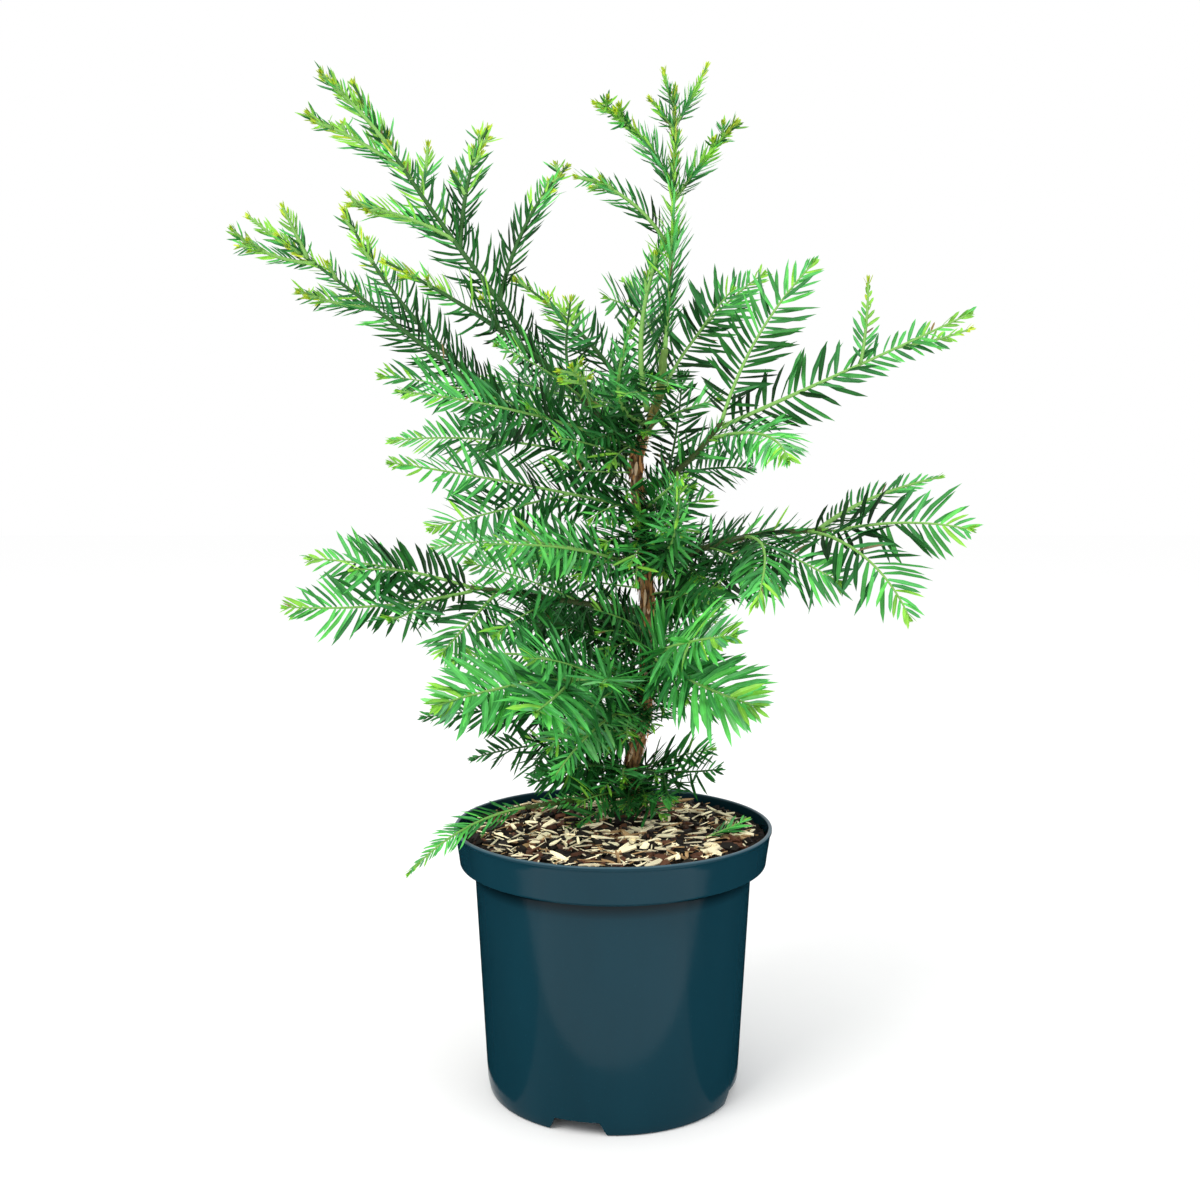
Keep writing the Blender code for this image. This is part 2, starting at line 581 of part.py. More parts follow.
class Tree:
    """Where every limb runs, and the room that the stems and needles take up."""

    def __init__(self):
        self.paths = {}
        self.radii = {}
        self.starts = []
        self.ends = []
        self.reach = []
        self.owner = []

    def claim(self, owner, start, end, radius):
        self.starts.append(start)
        self.ends.append(end)
        self.reach.append(radius)
        self.owner.append(owner)

    def claim_path(self, owner, path, radius):
        for start, end in zip(path[:-1], path[1:]):
            self.claim(owner, start, end, radius)

    def is_clear(self, owner, start, end, radius):
        """Whether a rod from start to end stays clear of everything claimed by others."""
        others = np.array([o != owner for o in self.owner])
        gap = rod_distances(start, end, np.array(self.starts)[others], np.array(self.ends)[others])
        return bool((gap > radius + np.array(self.reach)[others] + CLEAR).all())

    def radius_at(self, name, share):
        first, last = self.radii[name]
        return first + (last - first) * share

    def seat(self, limb, radius):
        """The start of a limb that stands just clear of its parent, in the direction the limb leaves by."""
        way = heading(limb.azimuth, limb.climb)
        if limb.parent == "trunk":
            point = trunk_point(limb.at)
            ahead = unit(trunk_point(limb.at + 3) - trunk_point(limb.at - 3))
            parent_radius = trunk_radius(limb.at)
            at_tip = limb.at >= TRUNK_COURSE[-1][0]
        else:
            point, ahead = along(self.paths[limb.parent], limb.at)
            parent_radius = self.radius_at(limb.parent, limb.at)
            at_tip = limb.at >= 1.0
        forward = abs(way.dot(ahead))
        across = math.sqrt(max(0.0, 1 - forward**2))
        if at_tip:
            return point + ahead * GAP + way * across * radius
        return point + way * (parent_radius + GAP + radius * forward) / max(LEAST_ACROSS, across)


def rod_distances(p1, q1, p2, q2):
    """Shortest distances from the segment p1 q1 to each of the segments p2 q2."""
    d1, d2, r = q1 - p1, q2 - p2, p1 - p2
    a, e = d1.dot(d1), np.einsum("ij,ij->i", d2, d2)
    f, c, b = np.einsum("ij,ij->i", d2, r), r.dot(d1), d2.dot(d1)
    denominator = a * e - b * b
    s = np.clip(np.where(denominator > 1e-9, (b * f - c * e) / np.maximum(denominator, 1e-9), 0.0), 0, 1)
    t = np.clip((b * s + f) / np.maximum(e, 1e-9), 0, 1)
    s = np.clip((b * t - c) / max(a, 1e-9), 0, 1)
    return np.linalg.norm((p1 + s[:, None] * d1) - (p2 + t[:, None] * d2), axis=1)


def make_boughs(tree):
    for limb in BOUGHS:
        path = grow(tree.seat(limb, BOUGH_ROOT_RADIUS), limb, BOUGH_STEP)
        tree.paths[limb.name] = path
        tree.radii[limb.name] = (BOUGH_ROOT_RADIUS, BOUGH_TIP_RADIUS)
        tree.claim_path(limb.name, path, BOUGH_ROOT_RADIUS)
        radii = np.linspace(BOUGH_ROOT_RADIUS, BOUGH_TIP_RADIUS, len(path))
        solid(limb.name, *tube(path, radii, BOUGH_SIDES), "bough", smooth=True)


def side_twigs(mass, rng):
    """Short twigs dealt out along a mass's stem, left and right in turn."""
    twigs = []
    for k in range(mass.twigs):
        at = TWIG_ZONE[0] + (TWIG_ZONE[1] - TWIG_ZONE[0]) * (k + rng.random() * 0.5) / mass.twigs
        side = -1 if (k + rng.randrange(2)) % 2 else 1
        azimuth = mass.limb.azimuth + mass.limb.turn * at + side * TWIG_FORK
        climb = mass.limb.climb + mass.limb.bend * at + rng.uniform(-TWIG_STRAY, TWIG_STRAY)
        length = rng.uniform(*TWIG_LENGTHS)
        twigs.append(Limb(f"twig_{k}", mass.limb.name, at, azimuth, climb, length, -10, -side * 12))
    return twigs


def path_is_clear(tree, owner, path):
    rods = zip(path[1:-1], path[2:])
    return all(tree.is_clear(owner, start, end, TWIG_RADIUS + 1.0) for start, end in rods)


def plan_masses(tree):
    """Every stem and twig is laid out first, so that no needle crosses any of them."""
    plans = []
    for number, mass in enumerate(MASSES):
        rng = random.Random(SEED * 100 + number)
        stem = grow(tree.seat(mass.limb, STEM_RADIUS), mass.limb, NEEDLE_PITCH)
        tree.claim_path(mass.limb.name, stem, STEM_RADIUS)
        own = {mass.limb.name: stem}
        parts = [(mass.limb, stem, STEM_RADIUS)]
        for limb in tuple(mass.shoots) + tuple(side_twigs(mass, rng)):
            root, _ = along(own[limb.parent], limb.at)
            path = grow(root, limb, NEEDLE_PITCH)
            optional = limb.name.startswith("twig_")
            if optional and not path_is_clear(tree, mass.limb.name, path):
                continue
            own[limb.name] = path
            tree.claim_path(mass.limb.name, path, TWIG_RADIUS)
            parts.append((limb, path, TWIG_RADIUS))
        plans.append((mass, parts, rng))
    return plans


def needle_reach(share):
    """How long a needle is for its place on the shoot, as a share of the longest."""
    base, middle, tip = NEEDLE_REACH
    if share < LONGEST_AT:
        return base + (middle - base) * math.sin(math.pi / 2 * share / LONGEST_AT)
    return middle + (tip - middle) * ((share - LONGEST_AT) / (1 - LONGEST_AT)) ** 1.6


def toothed_blade(tree, mass, limb, path, radius, rng, rooted):
    """Points and faces of a three-sided twig whose sides rise into needles, and which ends in a point."""
    count = len(path) - 1
    bases = frames(path, mass.face)
    points = []
    for i in range(count):
        _, side, normal = bases[i]
        r = radius * (1 - (1 - TIP_TAPER) * i / count)
        if rooted and i == 0:
            r = radius * TIP_TAPER
        points += [path[i] + side * r + normal * r / 2, path[i] - side * r + normal * r / 2]
        points.append(path[i] - normal * r)
    points.append(path[count])
    faces = [(0, 2, 1)]
    sides = ((2, 0), (1, 2), (0, 1))
    for i in range(count - 1):
        ahead, side, normal = bases[i]
        share = (i + 0.5) / count
        for k, (first, second) in enumerate(sides):
            a, b = 3 * i + first, 3 * i + second
            c, d = b + 3, a + 3
            lift = math.radians(NEEDLE_LIFT + rng.uniform(-NEEDLE_STRAY, NEEDLE_STRAY))
            spread = math.radians(np.interp(share, (0, 1), NEEDLE_SPREAD) + rng.uniform(-4, 4))
            reach = NEEDLE_LENGTH * mass.needle * limb.leaf * needle_reach(share) * rng.uniform(0.9, 1.08)
            outward = (side, -side)[k] * math.cos(lift) + normal * math.sin(lift) if k < 2 else normal
            if k == 2:
                reach *= THIRD_RANK_REACH
            root = (path[i] + path[i + 1]) / 2
            tip = root + (ahead * math.cos(spread) + outward * math.sin(spread)) * reach
            if i > 0 and k < mass.ranks and needle_fits(tree, mass.limb.name, root, tip):
                middle = (root + tip) / 2
                tree.claim(mass.limb.name, root, middle, NEEDLE_HALF_WIDTHS[0])
                tree.claim(mass.limb.name, middle, tip, NEEDLE_HALF_WIDTHS[1])
                points.append(tip)
                apex = len(points) - 1
                faces += [(a, b, apex), (b, c, apex), (c, d, apex), (d, a, apex)]
            else:
                faces.append((a, b, c, d))
    last, apex = 3 * (count - 1), 3 * count
    faces += [(last + first, last + second, apex) for first, second in sides]
    return points, faces


def needle_fits(tree, owner, root, tip):
    """Clear of the other masses, of the limbs, and of the potting mix and the pot's rim."""
    outward = math.hypot(tip[0], tip[1])
    if min(tip[2], root[2]) < SOIL_LEVEL + POT_CLEAR and outward < RIM_RADIUS + POT_CLEAR:
        return False
    if tip[2] < POT_HEIGHT + POT_CLEAR and abs(outward - RIM_RADIUS) < 2 * POT_CLEAR:
        return False
    middle = (root + tip) / 2
    wide, slim = NEEDLE_HALF_WIDTHS
    return tree.is_clear(owner, root, middle, wide) and tree.is_clear(owner, middle, tip, slim)


def make_masses(tree):
    for mass, parts, rng in plan_masses(tree):
        pieces = []
        for limb, path, radius in parts:
            rooted = limb is not mass.limb
            points, faces = toothed_blade(tree, mass, limb, path, radius, rng, rooted)
            name = f"{mass.limb.name}_{limb.name}" if rooted else mass.limb.name
            pieces.append(solid(name, points, faces, mass.tone))
        if len(pieces) > 1:
            boolean(pieces[0], pieces[1:], "UNION", "MANIFOLD")


def main():
    clear_scene()
    make_pot()
    make_potting_mix()
    make_trunk()
    tree = Tree()
    heights = trunk_heights()
    for low, high in zip(heights[:-1], heights[1:]):
        tree.claim("trunk", trunk_point(low), trunk_point(high), trunk_radius(low))
    make_boughs(tree)
    make_masses(tree)


main()
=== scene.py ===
"""Finish and foliage of a young coast redwood in a nursery pot, dressed over its solid model.

Lengths in the tables are millimetres and angles are degrees, as in the model's own rule of growth: a limb is
given by where it leaves its parent (a height on the trunk, a share of the length elsewhere), the azimuth and
climb with which it starts, its length, how far it bends and turns, and how long its needles are.
"""

import json
import math
import random
from collections import namedtuple

import bmesh
import bpy
import numpy as np
from bpy.props import FloatProperty, FloatVectorProperty, IntProperty, PointerProperty
from bpy.types import Operator, Panel, PropertyGroup
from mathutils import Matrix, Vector, noise

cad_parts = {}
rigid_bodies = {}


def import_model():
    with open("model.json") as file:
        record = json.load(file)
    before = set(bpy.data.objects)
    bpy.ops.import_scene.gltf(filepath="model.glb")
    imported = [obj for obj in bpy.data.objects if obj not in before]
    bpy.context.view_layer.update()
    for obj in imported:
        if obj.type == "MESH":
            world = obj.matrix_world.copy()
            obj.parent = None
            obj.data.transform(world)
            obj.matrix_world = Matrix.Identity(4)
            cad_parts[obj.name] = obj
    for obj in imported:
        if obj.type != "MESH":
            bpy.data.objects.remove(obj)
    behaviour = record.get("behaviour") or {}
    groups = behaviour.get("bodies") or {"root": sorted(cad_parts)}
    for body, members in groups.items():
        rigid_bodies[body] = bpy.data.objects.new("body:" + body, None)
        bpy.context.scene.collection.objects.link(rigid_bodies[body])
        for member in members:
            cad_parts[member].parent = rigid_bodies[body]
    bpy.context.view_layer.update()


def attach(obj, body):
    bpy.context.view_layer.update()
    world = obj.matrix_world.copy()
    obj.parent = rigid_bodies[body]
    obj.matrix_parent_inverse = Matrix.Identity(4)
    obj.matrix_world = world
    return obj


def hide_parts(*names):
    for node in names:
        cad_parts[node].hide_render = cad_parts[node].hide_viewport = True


bl_info = {
    "name": "Potted Young Redwood",
    "version": (1, 0, 0),
    "blender": (4, 5, 0),
    "location": "3D View > Sidebar > Redwood",
    "description": "Needles, bark, potting mix and pot of a young coast redwood",
    "category": "Object",
}

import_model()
MM = 0.001
BODY = "root"
SEED = 20

# Pot
POT_HEIGHT = 160.0
RIM_RADIUS = 95.0
COLLAR_FOOT_RADIUS = 91.6
COLLAR_DEPTH = 21.0
COLLAR_UNDERCUT = 5.0
WALL_TOP_RADIUS = 82.7
WALL_FOOT_RADIUS = 75.8
FOOT_RADIUS = 73.5
FOOT_ROUNDING = 6.0
FOOT_RING_WIDTH = 3.2
WALL = 1.5
POT_FLOOR = 1.9
LIP = 2.2
CENTRE_PAD_RADIUS = 46.0
PAD_SLOPE = 4.0
FLOOR_RAISE = 9.5
CHANNEL_RADIUS = FOOT_RADIUS - FOOT_RING_WIDTH - 2.0
NOTCHES = 4
NOTCH_AZIMUTH = -106.0
NOTCH_WIDTHS = (34.0, 26.5)
NOTCH_HEIGHT = 8.0
DRAIN_HOLES = 8
DRAIN_RADIUS = 4.0
DRAIN_SEGMENTS = 24
CUT_PAST = 2.0
POT_SEGMENTS = 224
SHARP_FROM = 38.0

# Potting mix; a set of lumps has a scale, a slice of the noise, its roughness, step and octaves, and a height
SOIL_LEVEL = 155.6
SOIL_SINK = 0.9
SOIL_LUMPS = ((0.16, 3.1, 0.8, 2.1, 4, 1.3), (0.55, 7.7, 0.9, 2.0, 3, 0.8))
SOIL_SEAT_RADIUS = 11.0
SOIL_MOUND_WIDTH = 34.0
SOIL_RADIUS = 90.6
SOIL_RINGS = 46
SOIL_SPOKES = 220

# Wood and bark chips: the least and most length, width and thickness of each size, and how they lie
CHUNK_SIZES = ((3.0, 10.0), (2.2, 6.0), (0.8, 2.4))
LARGE_SPLINTERS = ((8.0, 17.0), (2.0, 4.8), (0.5, 1.3))
MIDDLE_SPLINTERS = ((5.0, 12.0), (1.0, 2.1), (0.4, 1.0))
FINE_SPLINTERS = ((2.4, 9.0), (0.35, 0.9), (0.25, 0.6))
LARGE_EVERY, MIDDLE_EVERY = 9, 4
CRUMB_SIZES = (0.8, 2.4)
REDDISH_SHARE = 0.36
PALE_SHARE = 0.72
CHIP_SINK = 0.4
CHUNK_LIFT, SPLINTER_LIFT = 0.8, 3.0
CHUNK_ENDS, SPLINTER_ENDS = 0.6, 0.35
CHIP_TILT = 20.0
CHIP_BOW = 0.12
CHIP_SKEW = 0.12
CHIP_RAGGED = 0.18
CHIP_MARGIN, CRUMB_MARGIN = 5.0, 2.5
CLEAR_OF_TRUNK = 8.5

# Trunk and boughs
TRUNK_COURSE = (
    (158, 10, 34), (192, 13, 30), (227, 20, 25), (262, 21, 21), (293, 21, 18), (323, 19, 15), (344, 17, 13),
    (365, 14, 10), (380, 14, 8), (390, 17, 6), (399, 22, 4), (415, 27, 2), (441, 30, 0),
)
TRUNK_GIRTH = (
    (158, 7.4), (164, 5.3), (175, 4.6), (262, 4.2), (344, 3.7), (380, 3.2), (399, 2.8), (441, 1.9),
)
FLARE_HEIGHT = 12.0
FLARE_LOBE = 0.14
FLARE_TURN = 0.6
TRUNK_COLUMNS = 48
TRUNK_ROW = 1.3
BOUGH_COLUMNS = 14
BOUGH_ROOT_RADIUS = 1.9
BOUGH_TIP_RADIUS = 1.2
BOUGH_STEP = 2.0
# Relief of the bark: how fast its furrows and plates change across and up the stem, and how high each stands
FURROWS, PLATES = (0.75, 0.16), (0.5, 0.14)
FURROW_RISE, PLATE_RISE = 1.1, 0.8
FULL_BARK_RADIUS = 3.5
BOUGH_BARK_SCALE = 1.6
# How far the fibres run along a tube for each point of its path
BOUGH_RUN, TWIG_RUN = 0.2, 0.3

# Loose bark and dry twigs on the trunk
FLAKE_HEIGHTS = (164.0, 392.0)
FLAKE_LENGTHS = (3.0, 11.0)
FLAKE_WIDTHS = (0.8, 2.6)
FLAKE_LIFTS = (0.2, 1.4)
FLAKE_THICKNESS = 0.22
FLAKE_ROWS = 5
PALE_FLAKES = 0.45
# The least and most height, azimuth, climb, length, bend and turn of the dry twigs
DRY_LIMITS = ((164, 232), (150, 400), (-25, 40), (9, 30), (-40, 30), (-50, 50))
DRY_RADIUS = 0.5
DRY_TAPER = 0.4

# Shoots and needles
GAP = 0.35
LEAST_ACROSS = 0.2
LEAST_FACING = 0.35
STEM_RADIUS = 0.9
TWIG_RADIUS = 0.65
SHOOT_TIP_RADIUS = 0.35
TWIG_RADII = (TWIG_RADIUS, SHOOT_TIP_RADIUS)
SHOOT_STEP = 3.0
SHOOT_SIDES = 6
TWIG_LENGTHS = (26.0, 44.0)
TWIG_FORK = 46.0
TWIG_ZONE = (0.3, 0.7)
TWIG_STRAY = 12.0
TWIG_BEND, TWIG_TURN = -10, 12
FORKED_FROM = 45.0
FORKS = 4
FORK_ZONE = (0.62, 0.92)
FORK_LENGTHS = (6.0, 13.0)
FORK_ASIDE = (24, 62)
FORK_STRAY = (-26, 12)
FORK_BEND, FORK_LEAF = 6, 0.5
NEEDLE_STATIONS = ((0.08, 0.62), (0.4, 1.0), (0.8, 0.8))
NEEDLE_FOLD = 0.14
GOLDEN_ANGLE = 137.5
FRONT = (0.0, -0.86, 0.5)
BACK = (0.0, 0.8, 0.6)
UPWARD = (0.3, 0.2, 0.93)
SIDEWAYS = np.array((1.0, 0.0, 0.0))

FRESH, DARK, PALE, TIP = "needles_fresh", "needles_dark", "needles_pale", "needles_tip"
LUSH, SHADED = "needles_lush", "needles_shaded"
# Each tone runs from the inside of the crown out: name, share of the shoot where it gives way to the next.
# The darker tones inside the crown are partly the older needles' own colour and partly painted shade.
TONES = {
    DARK: (("deep", 0.35), ("dark", 0.85), ("mid", 1.01)),
    FRESH: (("deep", 0.1), ("dark", 0.42), ("mid", 0.7), ("fresh", 0.93), ("bright", 1.01)),
    SHADED: (("deep", 0.2), ("dark", 0.52), ("mid", 0.64), ("fresh", 0.72), ("bright", 0.92), ("tip", 1.01)),
    LUSH: (("dark", 0.14), ("mid", 0.42), ("fresh", 0.84), ("pale", 0.98), ("bright", 1.01)),
    PALE: (("mid", 0.15), ("pale", 0.7), ("fresh", 1.01)),
    TIP: (("dark", 0.12), ("mid", 0.3), ("fresh", 0.44), ("bright", 0.84), ("tip", 1.01)),
}
TONE_SCATTER = 0.13


def by_name(groups):
    """The look of each name, from pairs of a look and the names that share it."""
    return {name: look for look, names in groups for name in names.split()}


# For each needle tone, the tone of the masses whose solids its piece hides
TONE_SLOTS = by_name(((DARK, "dry deep dark"), (FRESH, "mid fresh bright"), (PALE, "pale"), (TIP, "tip")))
# Sprays whose needles show other tones than the solid they replace
OTHER_TONES = by_name((
    (LUSH, "spray_low_left_front spray_low_right_front spray_right_drooping spray_left_f spray_over_rim"),
    (SHADED, "spray_top_left spray_left_high spray_left_high_back spray_left_high_front"),
    (SHADED, "spray_centre_back spray_centre_dark"),
    (FRESH, "spray_left_c spray_centre_front spray_right_high_a spray_right_d spray_star"),
    (TIP, "spray_centre_pale"),
))
# A shoot whose needles are no longer than this share is young: brighter, with its needles closer together.
SHORT_LEAF = 0.7
# Needles shorter than this share spread less.
SHORT_NEEDLE = 0.78
# The few dried needles: their share of all, and their size beside a green one
DRY_SHARE = 0.009
DRY_SIZE = 0.6

# How needles stand on a shoot: degrees unless a share, as a middle and a scatter or as a least and a most
RANK_LIFT = (9, 11)
STRAY_LIFT = (25, 60)
STRAY_SHARE = 0.08
ROUND_STRAY = 12
ROUND_LIFT = 0.3
SPREAD_COURSE = ((0, 0.12, 0.7, 1.0), (78, 70, 56, 24))
SHORT_SPREAD = 0.68
SPREAD_SCATTER = 9
ROLL_SCATTER = 22
PITCH_STRAY = 0.3
SHORT_PITCH = 0.8
REACH_SCATTER = (0.8, 1.1)
CURL_SCATTER = (-0.1, 0.14)
DROOP_SCATTER = (-0.16, 0.1)
FULL_REACH = 18
WIDTH_LEAST, WIDTH_GAIN, WIDTH_LIMIT = 0.55, 0.5, 1.2
# The tuft of short needles at a shoot's tip
TUFT_NEEDLES = 9
TUFT_SPREAD = (8, 24)
TUFT_STRAY = 4
TUFT_REACH = (2.6, 3.2)
TUFT_SCATTER = (0.85, 1.15)
TUFT_DEPTH = 2.8
TUFT_WIDTH = 1.1
TUFT_CURL, TUFT_DROOP = 0.1, -0.05

Limb = namedtuple("Limb", "name parent at azimuth climb length bend turn leaf", defaults=(1.0,))
# A mass of foliage: its stem, how many side twigs are dealt out on it, its ranks of needles and their length
# as a share of the longest, the way it faces, its tone, and the shoots given with it.
Mass = namedtuple(
    "Mass", "limb twigs ranks needle face tone shoots", defaults=(0, 2, 1.0, FRONT, FRESH, ())
)
# How a spray's needles grow: shares of the usual length, width and pitch, how far they curve forward and
# droop, the share of the shoot after which they are short, and how thick the stem is.
Style = namedtuple(
    "Style", "reach width pitch curl droop fade stem", defaults=(1.0, 1.0, 1.0, 0.1, -0.04, 0.85, 1.3)
)
PLAIN = Style()
SLIM = Style(reach=0.88, width=0.8, pitch=0.96, curl=0.42, droop=0.0, fade=0.7, stem=2.2)
LEADING = Style(reach=1.05, width=0.85, pitch=0.62, curl=0.26, droop=0.0, fade=0.55, stem=1.6)
THIN = Style(reach=0.72, width=1.0, pitch=1.25, curl=0.3, droop=0.1, fade=0.85, stem=1.8)
BROAD = Style(reach=1.0, width=1.2, pitch=1.2, curl=0.12, droop=-0.16, fade=0.8, stem=1.3)
SPARSE = Style(reach=1.0, width=1.2, pitch=1.45, curl=0.1, droop=-0.2, fade=0.6, stem=1.6)
NEAR = Style(reach=1.06, width=1.5, pitch=0.68, curl=0.14, droop=-0.12, fade=0.88, stem=1.6)
HANGING = Style(reach=0.9, width=1.05, pitch=0.75, curl=0.16, droop=-0.55, fade=0.85, stem=1.3)
STYLES = by_name((
    (LEADING, "leader"),
    (SLIM, "second_leader spray_top_left spray_left_high spray_left_high_back spray_left_high_front"),
    (SLIM, "spray_centre_back spray_centre_pale"),
    (SLIM._replace(stem=1.1), "spray_over_rim"),
    (THIN, "spray_right_d spray_centre_front"),
    (SPARSE, "spray_right_high_c"),
    (BROAD, "spray_right_e spray_right_f spray_left_d"),
    (NEAR, "spray_low_left_front spray_low_right_front"),
    (HANGING, "spray_right_drooping spray_right_hanging spray_front_right spray_star spray_left_hanging"),
))
# A shoot as it is shown: the limb or mass it belongs to, its path and radii, the way it faces, its ranks of
# needles, their length and tone, the bare share of its foot, whether a tuft ends it, and its style.
Shoot = namedtuple("Shoot", "owner path radii face ranks needle tone bare tip style", defaults=(PLAIN,))
BOUGH_NEEDLE = 0.85
OTHER_BOUGH_NEEDLES = {"bough_over_rim": (0.4, LUSH)}
STEM_BARE, TWIG_BARE, SHORT_BARE, BOUGH_BARE = 0.03, 0.05, 0.06, 0.1

# Short shoots inside the crown: the heights they stand between, the azimuths they cover, and how many.
INNER_ZONES = (
    (182, 240, 100, 262, 14),
    (240, 300, 20, 340, 19),
    (354, 392, 120, 262, 6),
    (392, 432, 80, 290, 3),
)
INNER_STRAY = 0.06
# The least and most climb, length, bend and turn of the short shoots
INNER_LIMITS = ((-4, 30), (34, 74), (-28, 6), (-25, 25))
VEIL_LIMITS = ((-8, 34), (26, 50), (-50, -5), (-30, 30))
NEAR_VEIL_LIMITS = ((-8, 34), (20, 34), (-50, -5), (-30, 30))
# Shares of the inner and veiling shoots that take the dark tone, partly painted shade inside the crown.
INNER_DARK, VEIL_DARK = 0.15, 0.1
# Heights between which short shoots veil the front of the trunk, and how many.
VEILS = ((163, 186, 12), (206, 268, 22), (318, 354, 26), (384, 424, 8))
NEAR_VEIL_AZIMUTH = (270, 24)
VEIL_START, VEIL_SWEEP, VEIL_STRAY = 200, 150, 9
VEIL_LEAN = 0.3
# A sprig that has dropped onto the mix
FALLEN_FOOT = (54.0, -24.0, 157.5)
FALLEN = Limb("fallen_sprig", "potting_mix", 0.0, 20, 16, 30, -8, 24, 0.62)

# Stage: lengths in metres, except on the floor and the card, which are millimetres like the pieces
CAMERA_PLACE = (-0.0077, -0.850, 0.380)
CAMERA_PITCH = 84.26
CAMERA_LENS = 43.35
SENSOR_WIDTH = 36.0
LIGHT_AIM = (0.0, 0.0, 0.3)
KEY_PLACE, KEY_SIZE, KEY_COLOUR = (-0.9, -1.0, 1.5), (0.9, 0.9), (1.0, 0.98, 0.95)
FILL_PLACE, FILL_SIZE, FILL_COLOUR = (1.2, -0.9, 0.9), (1.0, 1.0), (0.95, 0.98, 1.0)
SHEEN_PLACE, SHEEN_AIM, SHEEN_SIZE = (0.0, -0.57, 0.002), (0.0, -0.57, 1.0), (2.4, 0.85)
SHEEN_POWER, SHEEN_COLOUR = 20.0, (1.0, 1.0, 1.0)
FLOOR_HALF, FLOOR_HEIGHT = 6000.0, -0.2
CARD_ARC = (-34.0, 214.0)
CARD_RADII = (84.0, 900.0)
CARD_STEPS = 48

BOUGHS = (
    Limb("bough_top_left", "trunk", 371, 195, 57, 71, -22, 4),
    Limb("bough_upper_left", "trunk", 364, 134, 45, 97, -40, 54),
    Limb("bough_low_left", "trunk", 285, 200, 10, 105, -1, -10),
    Limb("bough_foot_left", "trunk", 237, 242, 14, 73, -2, 4),
    Limb("bough_over_rim", "trunk", 172, 225, 3, 78, -2, -8),
    Limb("bough_upper_right", "trunk", 356, 324, 24, 68, 26, -5),
    Limb("bough_mid_right", "trunk", 306, 322, 31, 115, -34, 27),
    Limb("bough_back_high", "trunk", 378, 102, 30, 66, -12, 10),
    Limb("bough_back_low", "trunk", 262, 95, 12, 74, -6, -8),
)

